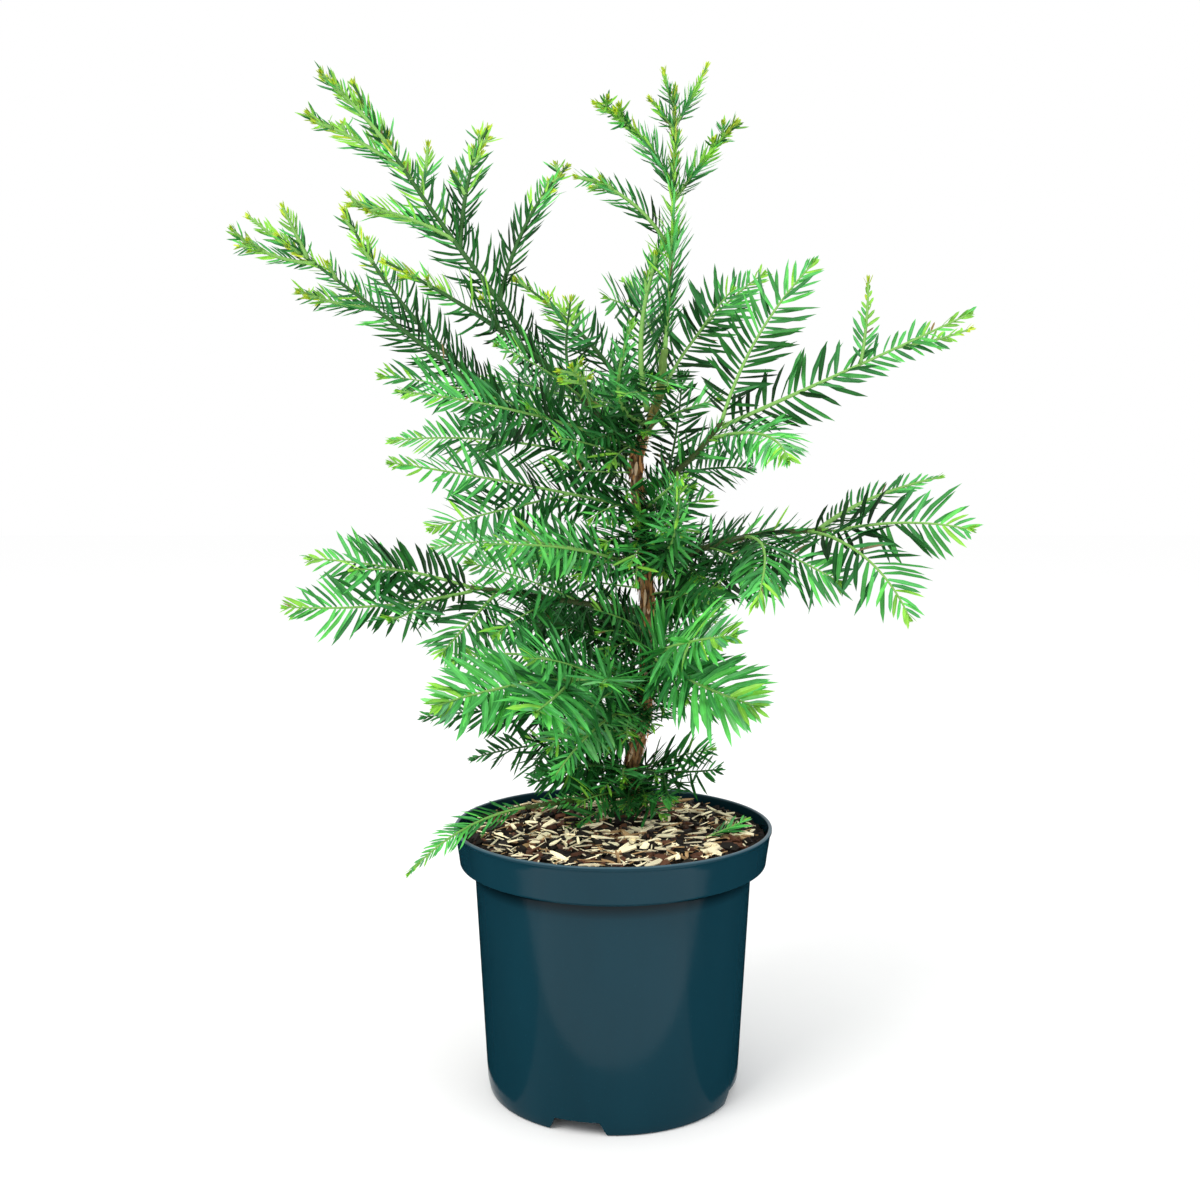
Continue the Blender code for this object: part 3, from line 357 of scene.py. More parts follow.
MASSES = (
    Mass(Limb("leader", "trunk", 441, 340, 85, 146, 6, 10), 0, 3, 0.75, tone=TIP, shoots=(
        Limb("left", "leader", 0.58, 171, 79, 74, -67, 49, 0.8),
        Limb("left_fork", "left", 0.66, 242, 5, 18, 20, 0, 0.6),
        Limb("right", "leader", 0.57, 327, 50, 56, -10, 0, 0.8),
        Limb("top_left", "leader", 0.84, 221, 43, 24, -10, 0, 0.55),
        Limb("top_right", "leader", 0.86, 14, 57, 40, 7, 14, 0.6),
        Limb("top_fork", "leader", 0.92, 202, 66, 22, 10, 0, 0.5),
    )),
    Mass(Limb("second_leader", "trunk", 399, 176, 76, 104, 40, 8), 0, 2, 0.95, shoots=(
        Limb("crook", "second_leader", 0.97, 208, 53, 58, -34, -31, 0.75),
    )),
    Mass(Limb("spray_top_left", "bough_top_left", 1.0, 226, 45, 190, 16, -66), 0, 2, 0.95, shoots=(
        Limb("lower_fork", "spray_top_left", 0.47, 203, 27, 60, -24, 0, 0.7),
        Limb("upright", "spray_top_left", 0.44, 80, 78, 80, -27, -23, 0.8),
        Limb("upright_bud", "upright", 0.4, 130, 52, 17, 0, 0, 0.45),
        Limb("inner", "spray_top_left", 0.25, 35, 77, 108, -48, 31, 0.8),
        Limb("tip_low", "spray_top_left", 0.71, 169, 35, 64, -12, -11, 0.6),
        Limb("tip_mid", "spray_top_left", 0.78, 192, 53, 50, -16, 3, 0.6),
        Limb("tip_side", "spray_top_left", 0.63, 84, 41, 34, 40, -7, 0.6),
    )),
    Mass(Limb("spray_left_high", "bough_upper_left", 1.0, 187, 39, 163, -4, 8), 0, 2, 0.95, tone=TIP, shoots=(
        Limb("low_fork", "spray_left_high", 0.58, 160, 4, 54, 18, -8, 0.7),
        Limb("tip_low", "spray_left_high", 0.84, 196, 0, 46, 34, 0, 0.5),
        Limb("tip_mid", "spray_left_high", 0.88, 172, 30, 42, 10, 0, 0.5),
        Limb("tip_high", "spray_left_high", 0.87, 215, 62, 32, 0, 0, 0.55),
    )),
    Mass(Limb("spray_left_high_back", "bough_upper_left", 0.93, 173, 37, 167, 21, -30), 0, 2, 0.95),
    Mass(Limb("spray_left_high_front", "bough_top_left", 0.88, 228, 29, 122, -6, -20), 1, 2, 1.0),
    Mass(Limb("spray_left_a", "trunk", 383, 213, 18, 154, -14, 1), 1),
    Mass(Limb("spray_left_b", "trunk", 348, 205, 12, 154, -4, 6), 0, 2, 1.05, shoots=(
        Limb("lower", "spray_left_b", 0.27, 211, -10, 98, 0, 15),
    )),
    Mass(Limb("spray_left_c", "trunk", 371, 166, 17, 160, -22, -10), 1, 2, 1.0, tone=DARK),
    Mass(Limb("spray_left_d", "bough_low_left", 1.0, 180, 17, 97, -15, -10), 1, 2, 1.15),
    Mass(Limb("spray_left_e", "bough_low_left", 0.93, 199, -11, 109, 17, 9), 0, 2, 1.1, shoots=(
        Limb("toward", "spray_left_e", 0.25, 255, -14, 54, 16, 0),
    )),
    Mass(Limb("spray_left_hanging", "bough_low_left", 0.84, 218, -39, 50, 0, 7), 0, 2, 1.0),
    Mass(Limb("spray_left_f", "trunk", 311, 234, 17, 128, -16, -12), 0, 2, 1.1, shoots=(
        Limb("behind", "spray_left_f", 0.3, 158, 14, 109, -26, 6),
    )),
    Mass(Limb("spray_left_g", "trunk", 273, 154, 5, 98, -13, 22), 2, 2, 1.0, tone=DARK),
    Mass(Limb("spray_low_left_front", "bough_foot_left", 1.0, 210, 3, 98, -13, 10), 0, 2, 1.2, shoots=(
        Limb("toward", "spray_low_left_front", 0.1, 250, -13, 64, 12, 6),
    )),
    Mass(Limb("spray_low_left_high", "bough_foot_left", 0.8, 174, 29, 86, -47, -5), 0, 2, 1.1),
    Mass(Limb("spray_low_left_back", "trunk", 218, 161, 6, 134, -14, 24), 1, 2, 1.0, tone=DARK),
    Mass(Limb("spray_low_left_pale", "trunk", 229, 242, 3, 115, -29, 3), 0, 2, 1.0, tone=PALE),
    Mass(Limb("spray_low_left_thin", "trunk", 201, 159, 2, 111, -22, -3), 0, 2, 0.85, tone=DARK, shoots=(
        Limb("hanging", "spray_low_left_thin", 0.45, 231, -17, 27, -40, 7),
    )),
    Mass(Limb("spray_over_rim", "bough_over_rim", 1.0, 214, 0, 84, -34, 11), 0, 2, 0.62),
    Mass(Limb("sprig_at_foot", "trunk", 176, 266, 2, 62, -6, 3), 0, 2, 0.7, tone=DARK),
    Mass(Limb("spray_centre_back", "trunk", 395, 124, 50, 143, -19, 28), 0, 2, 1.0, tone=PALE),
    Mass(Limb("spray_centre_front", "trunk", 397, 234, 8, 101, 47, 63), 0, 3, 0.95),
    Mass(Limb("spray_centre_dark", "bough_top_left", 0.7, 120, 50, 60, 26, -60), 0, 2, 0.9, tone=DARK),
    Mass(Limb("spray_centre_pale", "bough_top_left", 0.5, 268, 14, 67, 5, -15), 0, 2, 0.85, tone=PALE),
    Mass(Limb("spray_right_high_a", "trunk", 411, 48, 54, 105, -19, -33), 1, 2, 1.05, tone=DARK),
    Mass(Limb("spray_right_high_b", "bough_upper_right", 1.0, 33, 70, 107, -24, -29), 0, 2, 1.1),
    Mass(Limb("spray_right_high_c", "bough_upper_right", 0.92, 358, 24, 148, 0, -21), 0, 2, 1.2, shoots=(
        Limb("upright", "spray_right_high_c", 0.57, 285, 68, 46, 24, 0, 0.4),
        Limb("tuft", "spray_right_high_c", 0.72, 12, 8, 44, 12, 0, 0.45),
    )),
    Mass(Limb("spray_right_drooping", "bough_upper_right", 0.8, 310, 11, 94, -37, -39), 0, 2, 0.95),
    Mass(Limb("spray_right_thin", "trunk", 360, 30, 19, 87, -25, 10), 0, 2, 0.9, tone=DARK, shoots=(
        Limb("upright", "spray_right_thin", 0.2, 59, 60, 66, 26, 0),
    )),
    Mass(Limb("spray_front_right", "trunk", 345, 283, 16, 88, -3, 0), 0, 2, 0.85),
    Mass(Limb("spray_star", "trunk", 316, 294, 4, 84, 62, -25), 0, 3, 0.8, tone=PALE),
    Mass(Limb("spray_right_d", "bough_mid_right", 0.93, 51, 22, 102, -11, -35), 0, 2, 0.75, tone=DARK),
    Mass(Limb("spray_right_e", "bough_mid_right", 1.0, 355, 14, 78, -24, -34), 0, 2, 1.2),
    Mass(Limb("spray_right_f", "bough_mid_right", 0.86, 309, -2, 85, -61, 12), 0, 2, 1.2),
    Mass(Limb("spray_right_hanging", "bough_mid_right", 0.55, 292, 5, 79, -58, -48), 0, 2, 1.1, shoots=(
        Limb("aside", "spray_right_hanging", 0.3, 330, -20, 50, -10, 20),
    )),
    Mass(Limb("spray_right_g", "trunk", 293, 28, 19, 79, -27, -8), 2, 2, 1.0, tone=DARK),
    Mass(Limb("spray_low_right_front", "trunk", 249, 270, 21, 138, -12, 36), 0, 2, 1.3, shoots=(
        Limb("lower", "spray_low_right_front", 0.27, 287, -12, 84, -2, 50),
    )),
    Mass(Limb("spray_low_right", "trunk", 187, 313, 3, 69, 12, -2), 1, 2, 0.9, tone=DARK),
    Mass(Limb("spray_back_top", "trunk", 428, 96, 38, 116, -12, 12), 2, 2, 0.9, BACK),
    Mass(Limb("spray_back_high_a", "bough_back_high", 1.0, 92, 20, 104, -18, -14), 2, 2, 1.05, BACK, shoots=(
        Limb("aside", "spray_back_high_a", 0.22, 60, 18, 62, -16, -8),
    )),
    Mass(Limb("spray_back_high_b", "bough_back_high", 0.85, 140, 24, 98, -22, 16), 2, 2, 1.05, BACK),
    Mass(Limb("spray_back_right", "trunk", 318, 66, 6, 120, -14, -6), 3, 2, 1.1, BACK, DARK),
    Mass(Limb("spray_back_left", "trunk", 306, 118, 12, 134, -20, 12), 3, 2, 1.1, BACK),
    Mass(Limb("spray_back_low_a", "bough_back_low", 1.0, 74, 6, 96, -18, -12), 2, 2, 1.1, BACK, shoots=(
        Limb("aside", "spray_back_low_a", 0.2, 30, 8, 58, -12, -8),
    )),
    Mass(Limb("spray_back_low_b", "bough_back_low", 0.85, 132, 8, 90, -18, 12), 2, 2, 1.1, BACK, DARK),
    Mass(Limb("spray_back_foot", "trunk", 208, 108, 6, 96, -14, 10), 2, 2, 0.9, BACK, DARK),
)

# Shoots that fill the crown: where they leave their bough or the trunk, and their tone.
FILLS = (
    (Limb("fill_mid_left", "bough_low_left", 0.35, 215, 24, 76, -10, 0, 1.05), LUSH),
    (Limb("fill_mid_left_low", "bough_low_left", 0.5, 235, -8, 62, -10, 8, 1.0), FRESH),
    (Limb("fill_upper_left", "bough_upper_left", 0.72, 196, 20, 96, -16, 6, 1.0), FRESH),
    (Limb("fill_upper_left_low", "bough_upper_left", 0.5, 214, 4, 78, -10, 6, 1.0), DARK),
    (Limb("fill_top_left", "bough_top_left", 0.6, 240, 22, 84, -10, -6, 1.0), FRESH),
    (Limb("fill_front_left", "bough_foot_left", 0.55, 262, 14, 66, -14, 6, 1.2), LUSH),
    (Limb("fill_front_low", "bough_foot_left", 0.35, 230, -14, 70, -16, 6, 1.1), LUSH),
    (Limb("fill_front_inner", "bough_foot_left", 0.75, 232, 26, 62, -20, 0, 1.1), LUSH),
    (Limb("fill_foot_a", "trunk", 178, 186, 10, 58, -16, 12, 0.9), DARK),
    (Limb("fill_foot_b", "trunk", 186, 212, 16, 64, -22, 8, 0.9), DARK),
    (Limb("fill_foot_c", "trunk", 171, 236, 12, 52, -14, 4, 0.9), FRESH),
    (Limb("fill_foot_d", "trunk", 174, 160, 14, 56, -16, 10, 0.9), DARK),
    (Limb("fill_foot_e", "trunk", 172, 296, 10, 44, -10, 10, 0.8), FRESH),
    (Limb("fill_right_mid", "bough_mid_right", 0.35, 300, -4, 58, -30, 20, 1.0), FRESH),
    (Limb("fill_right_mid_low", "bough_mid_right", 0.2, 285, -16, 52, -20, 20, 1.0), DARK),
)


# ---------------------------------------------------------------- growth


def unit(vector):
    return vector / max(np.linalg.norm(vector), 1e-9)


def heading(azimuth, climb):
    a, c = math.radians(azimuth), math.radians(climb)
    return np.array((math.cos(c) * math.cos(a), math.cos(c) * math.sin(a), math.sin(c)))


def grow(start, limb, step):
    """Points along a limb from its start, one every step or so."""
    count = max(3, round(limb.length / step))
    points = [np.asarray(start, float)]
    for i in range(count):
        share = (i + 0.5) / count
        way = heading(limb.azimuth + limb.turn * share, limb.climb + limb.bend * share)
        points.append(points[-1] + way * (limb.length / count))
    return np.array(points)


def along(path, share):
    """The point and the direction at a share of a path's length."""
    place = share * (len(path) - 1)
    i = min(int(place), len(path) - 2)
    return path[i] + (path[i + 1] - path[i]) * (place - i), unit(path[i + 1] - path[i])


def trunk_point(height):
    heights, xs, ys = np.array(TRUNK_COURSE, float).T
    return np.array((np.interp(height, heights, xs), np.interp(height, heights, ys), height))


def trunk_radius(height):
    heights, radii = np.array(TRUNK_GIRTH, float).T
    return float(np.interp(height, heights, radii))


def seat(limb, radius, paths, radii):
    """The start of a limb that stands just clear of its parent, in the direction the limb leaves by."""
    way = heading(limb.azimuth, limb.climb)
    if limb.parent == "trunk":
        point = trunk_point(limb.at)
        ahead = unit(trunk_point(limb.at + 3) - trunk_point(limb.at - 3))
        parent_radius = trunk_radius(limb.at)
        at_tip = limb.at >= TRUNK_COURSE[-1][0]
    else:
        point, ahead = along(paths[limb.parent], limb.at)
        first, last = radii[limb.parent]
        parent_radius = first + (last - first) * limb.at
        at_tip = limb.at >= 1.0
    forward = abs(way.dot(ahead))
    across = math.sqrt(max(0.0, 1 - forward**2))
    if at_tip:
        return point + ahead * GAP + way * across * radius
    return point + way * (parent_radius + GAP + radius * forward) / max(LEAST_ACROSS, across)


def bough_paths(step):
    radii = {limb.name: (BOUGH_ROOT_RADIUS, BOUGH_TIP_RADIUS) for limb in BOUGHS}
    return {limb.name: grow(seat(limb, BOUGH_ROOT_RADIUS, {}, radii), limb, step) for limb in BOUGHS}, radii


def side_twigs(mass, rng):
    """Short twigs dealt out along a mass's stem, left and right in turn."""
    twigs = []
    for k in range(mass.twigs):
        at = TWIG_ZONE[0] + (TWIG_ZONE[1] - TWIG_ZONE[0]) * (k + rng.random() * 0.5) / mass.twigs
        side = -1 if (k + rng.randrange(2)) % 2 else 1
        azimuth = mass.limb.azimuth + mass.limb.turn * at + side * TWIG_FORK
        climb = mass.limb.climb + mass.limb.bend * at + rng.uniform(-TWIG_STRAY, TWIG_STRAY)
        length = rng.uniform(*TWIG_LENGTHS)
        turn = -side * TWIG_TURN
        twigs.append(Limb(f"twig_{k}", mass.limb.name, at, azimuth, climb, length, TWIG_BEND, turn))
    return twigs


def forked_tips(limb, rng):
    """The short shoots of new growth that fork off near the end of a slim stem."""
    if limb.length < FORKED_FROM:
        return []
    tips = []
    for k in range(FORKS):
        at = FORK_ZONE[0] + (FORK_ZONE[1] - FORK_ZONE[0]) * (k + rng.random()) / FORKS
        side = 1 if k % 2 else -1
        azimuth = limb.azimuth + limb.turn * at + side * rng.uniform(*FORK_ASIDE)
        climb = limb.climb + limb.bend * at + rng.uniform(*FORK_STRAY)
        length = rng.uniform(*FORK_LENGTHS)
        tips.append(
            Limb(f"{limb.name}_tip_{k}", limb.name, at, azimuth, climb, length, FORK_BEND, 0, FORK_LEAF)
        )
    return tips


def limb_off_trunk(radius, *growth):
    """The path of a thin limb off the trunk, from its height, azimuth, climb, length, bend and turn."""
    limb = Limb("off_trunk", "trunk", *growth)
    return grow(seat(limb, radius, {}, {}), limb, SHOOT_STEP)


def inner_shoots():
    """Short shoots off the trunk, which fill the inside of the crown where it is dense."""
    share = bpy.context.scene.redwood_needles.inner_share
    rng = random.Random(SEED + 7)
    shoots = []
    for low, high, start, stop, count in INNER_ZONES:
        for k in range(round(count * share)):
            height = rng.uniform(low, high)
            turned = (k * GOLDEN_ANGLE / 360 + rng.uniform(-INNER_STRAY, INNER_STRAY)) % 1.0
            azimuth = start + (stop - start) * turned
            growth = [rng.uniform(*pair) for pair in INNER_LIMITS]
            path = limb_off_trunk(TWIG_RADIUS, height, azimuth, *growth)
            face = FRONT if heading(azimuth, 0)[1] < 0.3 else BACK
            tone = DARK if rng.random() < INNER_DARK else FRESH
            shoots.append(Shoot("trunk", path, TWIG_RADII, face, 2, BOUGH_NEEDLE, tone, SHORT_BARE, False))
    return shoots


def veil_shoots():
    """Short shoots that hang in front of the trunk and leave it bare only between them."""
    rng = random.Random(SEED + 23)
    shoots = []
    for low, high, count in VEILS:
        for k in range(count):
            near = k % 2
            share = (k + 0.5) / count
            height = low + (high - low) * (share if near else rng.random())
            sweep = VEIL_START + VEIL_SWEEP * share
            azimuth = rng.gauss(*NEAR_VEIL_AZIMUTH) if near else sweep + rng.uniform(-VEIL_STRAY, VEIL_STRAY)
            growth = [rng.uniform(*pair) for pair in (NEAR_VEIL_LIMITS if near else VEIL_LIMITS)]
            path = limb_off_trunk(TWIG_RADIUS, height, azimuth, *growth)
            face = (rng.uniform(-VEIL_LEAN, VEIL_LEAN), -0.6, 0.75)
            tone = DARK if rng.random() < VEIL_DARK else FRESH
            shoots.append(Shoot("trunk", path, TWIG_RADII, face, 2, BOUGH_NEEDLE, tone, SHORT_BARE, True))
    return shoots


def mass_shoots(number, mass, boughs, radii):
    """The stem of a mass, the shoots given with it, its side twigs and its forked tips."""
    rng = random.Random(SEED * 100 + number)
    name = mass.limb.name
    tone = OTHER_TONES.get(name, mass.tone)
    style = STYLES.get(name, PLAIN)
    own = {name: grow(seat(mass.limb, STEM_RADIUS, boughs, radii), mass.limb, SHOOT_STEP)}
    girth = (STEM_RADIUS * style.stem, SHOOT_TIP_RADIUS * style.stem)
    looks = (mass.face, mass.ranks)
    shoots = [Shoot(name, own[name], girth, *looks, mass.needle, tone, STEM_BARE, True, style)]
    slender = tuple(mass.shoots) + tuple(side_twigs(mass, rng))
    if style in (SLIM, LEADING):
        slender += tuple(tip for limb in (mass.limb,) + slender for tip in forked_tips(limb, rng))
    girth = (TWIG_RADIUS * style.stem, SHOOT_TIP_RADIUS * style.stem)
    for limb in slender:
        root, _ = along(own[limb.parent], limb.at)
        own[limb.name] = grow(root, limb, SHOOT_STEP)
        young = TIP if limb.leaf <= SHORT_LEAF and tone in (FRESH, SHADED) else tone
        needle = mass.needle * limb.leaf
        shoots.append(Shoot(name, own[limb.name], girth, *looks, needle, young, TWIG_BARE, True, style))
    return shoots


def crown():
    """Every needle-clad shoot: the boughs, the masses, the fill, the fallen sprig and the short shoots."""
    boughs, radii = bough_paths(SHOOT_STEP)
    shoots = []
    for limb in BOUGHS:
        needle, tone = OTHER_BOUGH_NEEDLES.get(limb.name, (BOUGH_NEEDLE, FRESH))
        path, girth = boughs[limb.name], radii[limb.name]
        shoots.append(Shoot(limb.name, path, girth, FRONT, 3, needle, tone, BOUGH_BARE, False))
    for number, mass in enumerate(MASSES):
        shoots += mass_shoots(number, mass, boughs, radii)
    for limb, tone in FILLS:
        path = grow(seat(limb, TWIG_RADIUS, boughs, radii), limb, SHOOT_STEP)
        owner = "trunk" if limb.parent == "trunk" else limb.name
        shoots.append(Shoot(owner, path, TWIG_RADII, FRONT, 2, limb.leaf, tone, TWIG_BARE, True))
    fallen = grow(np.array(FALLEN_FOOT), FALLEN, SHOOT_STEP)
    shoots.append(Shoot("potting_mix", fallen, TWIG_RADII, UPWARD, 2, FALLEN.leaf, LUSH, BOUGH_BARE, True))
    return shoots + inner_shoots() + veil_shoots()


def frames(path, face):
    """Direction, side and normal at each point, the normal leaning towards the way the spray faces."""
    rows = []
    for i in range(len(path)):
        ahead = unit(path[min(i + 1, len(path) - 1)] - path[max(i - 1, 0)])
        wanted = np.asarray(face, float)
        normal = wanted - ahead * wanted.dot(ahead)
        if np.linalg.norm(normal) < LEAST_FACING:
            normal = normal + SIDEWAYS - ahead * SIDEWAYS.dot(ahead)
        normal = unit(normal)
        rows.append((ahead, np.cross(normal, ahead), normal))
    return np.array(rows)


# ---------------------------------------------------------------- meshes


def mesh_object(name, points, faces, material, uvs=None, smooth=True):
    """One mesh object from points in millimetres."""
    mesh = bpy.data.meshes.new(name)
    mesh.from_pydata((np.asarray(points, float) * MM).tolist(), [], faces)
    if uvs is not None:
        layer = mesh.uv_layers.new(name="UVMap")
        corners = np.empty(len(mesh.loops), np.int32)
        mesh.loops.foreach_get("vertex_index", corners)
        layer.data.foreach_set("uv", np.asarray(uvs, np.float32)[corners].ravel())
    mesh.polygons.foreach_set("use_smooth", [smooth] * len(mesh.polygons))
    mesh.materials.append(material)
    obj = bpy.data.objects.new(name, mesh)
    bpy.context.scene.collection.objects.link(obj)
    return obj


def ring_quads(first, second, count):
    """The faces between two rings of as many points each, given the number of each ring's first point."""
    return [(first + i, first + (i + 1) % count, second + (i + 1) % count, second + i) for i in range(count)]


def tube(path, radii, sides, run, face=UPWARD):
    """Points, faces and places along and round a tapering tube with flat ends."""
    rows = frames(path, face)
    angles = 2 * math.pi * np.arange(sides) / sides
    points, uvs = [], []
    for (_, side, normal), centre, radius, share in zip(rows, path, radii, np.linspace(0, 1, len(path))):
        for a in angles:
            points.append(centre + (side * math.cos(a) + normal * math.sin(a)) * radius)
            uvs.append((share * len(path) * run, a / (2 * math.pi)))
    faces = []
    for k in range(len(path) - 1):
        faces += ring_quads(k * sides, (k + 1) * sides, sides)
    last = (len(path) - 1) * sides
    faces.append(tuple(range(sides - 1, -1, -1)))
    faces.append(tuple(range(last, last + sides)))
    return points, faces, uvs


class Batch:
    """Many small solids of one kind gathered into one mesh."""

    def __init__(self):
        self.points = []
        self.faces = []
        self.uvs = []

    def add(self, points, faces, uvs):
        start = len(self.points)
        self.points.extend(points)
        self.uvs.extend(uvs)
        self.faces.extend(tuple(start + i for i in face) for face in faces)

    def piece(self, name, material, smooth=True):
        return mesh_object(name, self.points, self.faces, material, self.uvs, smooth)


# ---------------------------------------------------------------- materials


def feed(tree, socket, value):
    """Link a socket to the output given, or set it to the value given."""
    if isinstance(value, bpy.types.NodeSocket):
        tree.links.new(value, socket)
    else:
        socket.default_value = value


def add_node(tree, kind, settings=None, **inputs):
    """A node with its settings made, its inputs set, and sockets given as inputs linked."""
    node = tree.nodes.new(kind)
    for key, value in (settings or {}).items():
        setattr(node, key, value)
    for key, value in inputs.items():
        feed(tree, node.inputs[key.replace("_", " ")], value)
    return node


def new_material(name, roughness, specular):
    material = bpy.data.materials.new(name)
    material.use_nodes = True
    tree = material.node_tree
    shader = tree.nodes["Principled BSDF"]
    shader.inputs["Roughness"].default_value = roughness
    shader.inputs["Specular IOR Level"].default_value = specular
    return material, tree, shader


def place(tree, scale=(1.0, 1.0, 1.0), source="Object"):
    """Coordinates of a point of the piece, stretched."""
    coordinates = add_node(tree, "ShaderNodeTexCoord").outputs[source]
    return add_node(tree, "ShaderNodeMapping", Vector=coordinates, Scale=scale).outputs["Vector"]


def grain(tree, vector, scale, detail=3.0, rough=0.55):
    node = add_node(tree, "ShaderNodeTexNoise", Vector=vector, Scale=scale, Detail=detail, Roughness=rough)
    return node.outputs["Fac"]


def ramp(tree, value, *stops):
    """A colour for each value: a stop is its place with a colour or a grey."""
    node = add_node(tree, "ShaderNodeValToRGB", Fac=value)
    elements = node.color_ramp.elements
    while len(elements) < len(stops):
        elements.new(0.5)
    for element, (position, colour) in zip(elements, stops):
        element.position = position
        element.color = (*np.broadcast_to(colour, 3), 1.0)
    return node.outputs["Color"]


def span(tree, value, low, high, top=1.0):
    """How far a value has come from low to high, as a share that ends at top."""
    node = add_node(tree, "ShaderNodeMapRange", Value=value, From_Min=low, From_Max=high, To_Max=top)
    return node.outputs["Result"]


def height_of(tree):
    """The height of a point above the ground, in metres."""
    return add_node(tree, "ShaderNodeSeparateXYZ", Vector=place(tree)).outputs["Z"]


def mix(tree, factor, first, second, blend="MIX"):
    node = add_node(tree, "ShaderNodeMix", {"data_type": "RGBA", "blend_type": blend})
    feed(tree, node.inputs[0], factor)
    for socket, colour in ((node.inputs[6], first), (node.inputs[7], second)):
        feed(tree, socket, colour if isinstance(colour, bpy.types.NodeSocket) else (*colour[:3], 1.0))
    return node.outputs[2]


def bump(tree, shader, height, strength, distance):
    node = add_node(tree, "ShaderNodeBump", Height=height, Strength=strength, Distance=distance)
    tree.links.new(node.outputs["Normal"], shader.inputs["Normal"])


def to_colour(tree, shader, colour):
    tree.links.new(colour, shader.inputs["Base Color"])


def to_roughness(tree, shader, value):
    tree.links.new(value, shader.inputs["Roughness"])


def shade(colour, factor):
    return tuple(min(1.0, channel * factor) for channel in colour[:3])


def pot_material():
    """Dark blue-green moulded plastic: a soft gloss, a little dust, a painted highlight along the lip,
    painted shade under the collar.
    """
    settings = bpy.context.scene.redwood_pot
    colour, gloss = tuple(settings.colour), settings.roughness
    material, tree, shader = new_material("pot_moulded_plastic", gloss, 0.05)
    cloud = grain(tree, place(tree, (1, 1, 0.35)), 14.0, 4.0)
    base = ramp(tree, cloud, (0.3, shade(colour, 0.88)), (0.7, shade(colour, 1.14)))
    height = height_of(tree)
    # Painted highlight: a paler line along the top of the lip.
    lip_highlight_mask = span(tree, height, (POT_HEIGHT - 1.0) * MM, (POT_HEIGHT - 0.2) * MM, 0.5)
    base = mix(tree, lip_highlight_mask, base, settings.lip_highlight_colour)
    dust = grain(tree, place(tree), 900.0, 2.0)
    base = mix(tree, ramp(tree, dust, (0.69, 0.0), (0.78, 0.22)), base, shade(colour, 3.2))
    # Painted shade: a dark band on the wall just under the collar, where the collar shades it.
    undercut = POT_HEIGHT - COLLAR_DEPTH - COLLAR_UNDERCUT
    under = span(tree, height, (undercut - 7.0) * MM, (undercut + 1.0) * MM)
    collar_shade = ramp(tree, under, (0.0, 0.0), (0.55, 0.5), (0.98, 0.9), (1.0, 0.0))
    to_colour(tree, shader, mix(tree, collar_shade, base, shade(colour, 0.1)))
    smear = grain(tree, place(tree, (1, 1, 0.5)), 46.0, 4.0)
    to_roughness(tree, shader, ramp(tree, smear, (0.3, gloss - 0.03), (0.75, gloss + 0.05)))
    bump(tree, shader, grain(tree, place(tree), 700.0, 2.0), 0.06, 0.0006)
    return material


def mix_material():
    settings = bpy.context.scene.redwood_mix
    material, tree, shader = new_material("moist_potting_mix", 0.92, 0.3)
    lumps = grain(tree, place(tree), 240.0, 6.0, 0.7)
    dark, light = shade(settings.soil_colour, 0.3), shade(settings.bark_colour, 0.8)
    to_colour(tree, shader, ramp(tree, lumps, (0.3, dark), (0.52, settings.soil_colour), (0.68, light)))
    bump(tree, shader, grain(tree, place(tree), 420.0, 6.0, 0.75), 0.9, 0.0022)
    return material


def chip_material(name, colour, streak):
    """Split wood or bark whose fibres run the length of each chip."""
    material, tree, shader = new_material(name, 0.8, 0.35)
    fibres = grain(tree, place(tree, (2.5, 26.0, 1.0), "UV"), 3.0, 4.0, 0.65)
    tint = add_node(tree, "ShaderNodeNewGeometry").outputs["Random Per Island"]
    dark, light = shade(colour, 1 - streak), shade(colour, 1.25)
    streaked = ramp(tree, fibres, (0.25, dark), (0.5, colour), (0.78, light))
    # Each chip a little lighter or darker at random, and raised overall past its own colour as painted light
    # against the crown's shade.
    chip_tone_and_light = ramp(tree, tint, (0.0, 0.8), (0.4, 1.1), (1.0, 1.6))
    to_colour(tree, shader, mix(tree, 1.0, streaked, chip_tone_and_light, "MULTIPLY"))
    bump(tree, shader, fibres, 0.5, 0.0005)
    return material


def bark_material():
    """Orange-brown flaking bark with pale patches, greening towards the young top of the trunk."""
    settings = bpy.context.scene.redwood_bark
    material, tree, shader = new_material("flaking_bark", 0.85, 0.3)
    flakes = grain(tree, place(tree, (1, 1, 0.28)), 620.0, 5.0, 0.62)
    # The darkest stop is the furrows' colour, partly the bark's own and partly painted shade in them.
    old = ramp(
        tree,
        flakes,
        (0.3, settings.furrow_and_shade_colour),
        (0.46, settings.bark_colour),
        (0.6, settings.flake_colour),
        (0.74, settings.pale_colour),
    )
    patches = grain(tree, place(tree, (1, 1, 0.5)), 75.0, 3.0)
    old = mix(tree, ramp(tree, patches, (0.5, 0.0), (0.66, 0.55)), old, settings.pale_colour)
    young = span(tree, height_of(tree), settings.green_from, settings.green_full)
    green = ramp(tree, flakes, (0.3, shade(settings.young_colour, 0.6)), (0.7, settings.young_colour))
    to_colour(tree, shader, mix(tree, young, old, green))
    bump(tree, shader, grain(tree, place(tree, (1, 1, 0.3)), 900.0, 5.0, 0.7), 0.7, 0.0007)
    return material


def bough_material():
    settings = bpy.context.scene.redwood_bark
    colour = settings.bough_colour
    material, tree, shader = new_material("young_bough_bark", 0.7, 0.35)
    streaks = grain(tree, place(tree, (3.0, 24.0, 1.0), "UV"), 4.0, 4.0)
    stops = ((0.3, shade(colour, 0.55)), (0.55, colour), (0.75, settings.young_colour))
    to_colour(tree, shader, ramp(tree, streaks, *stops))
    bump(tree, shader, streaks, 0.5, 0.0004)
    return material


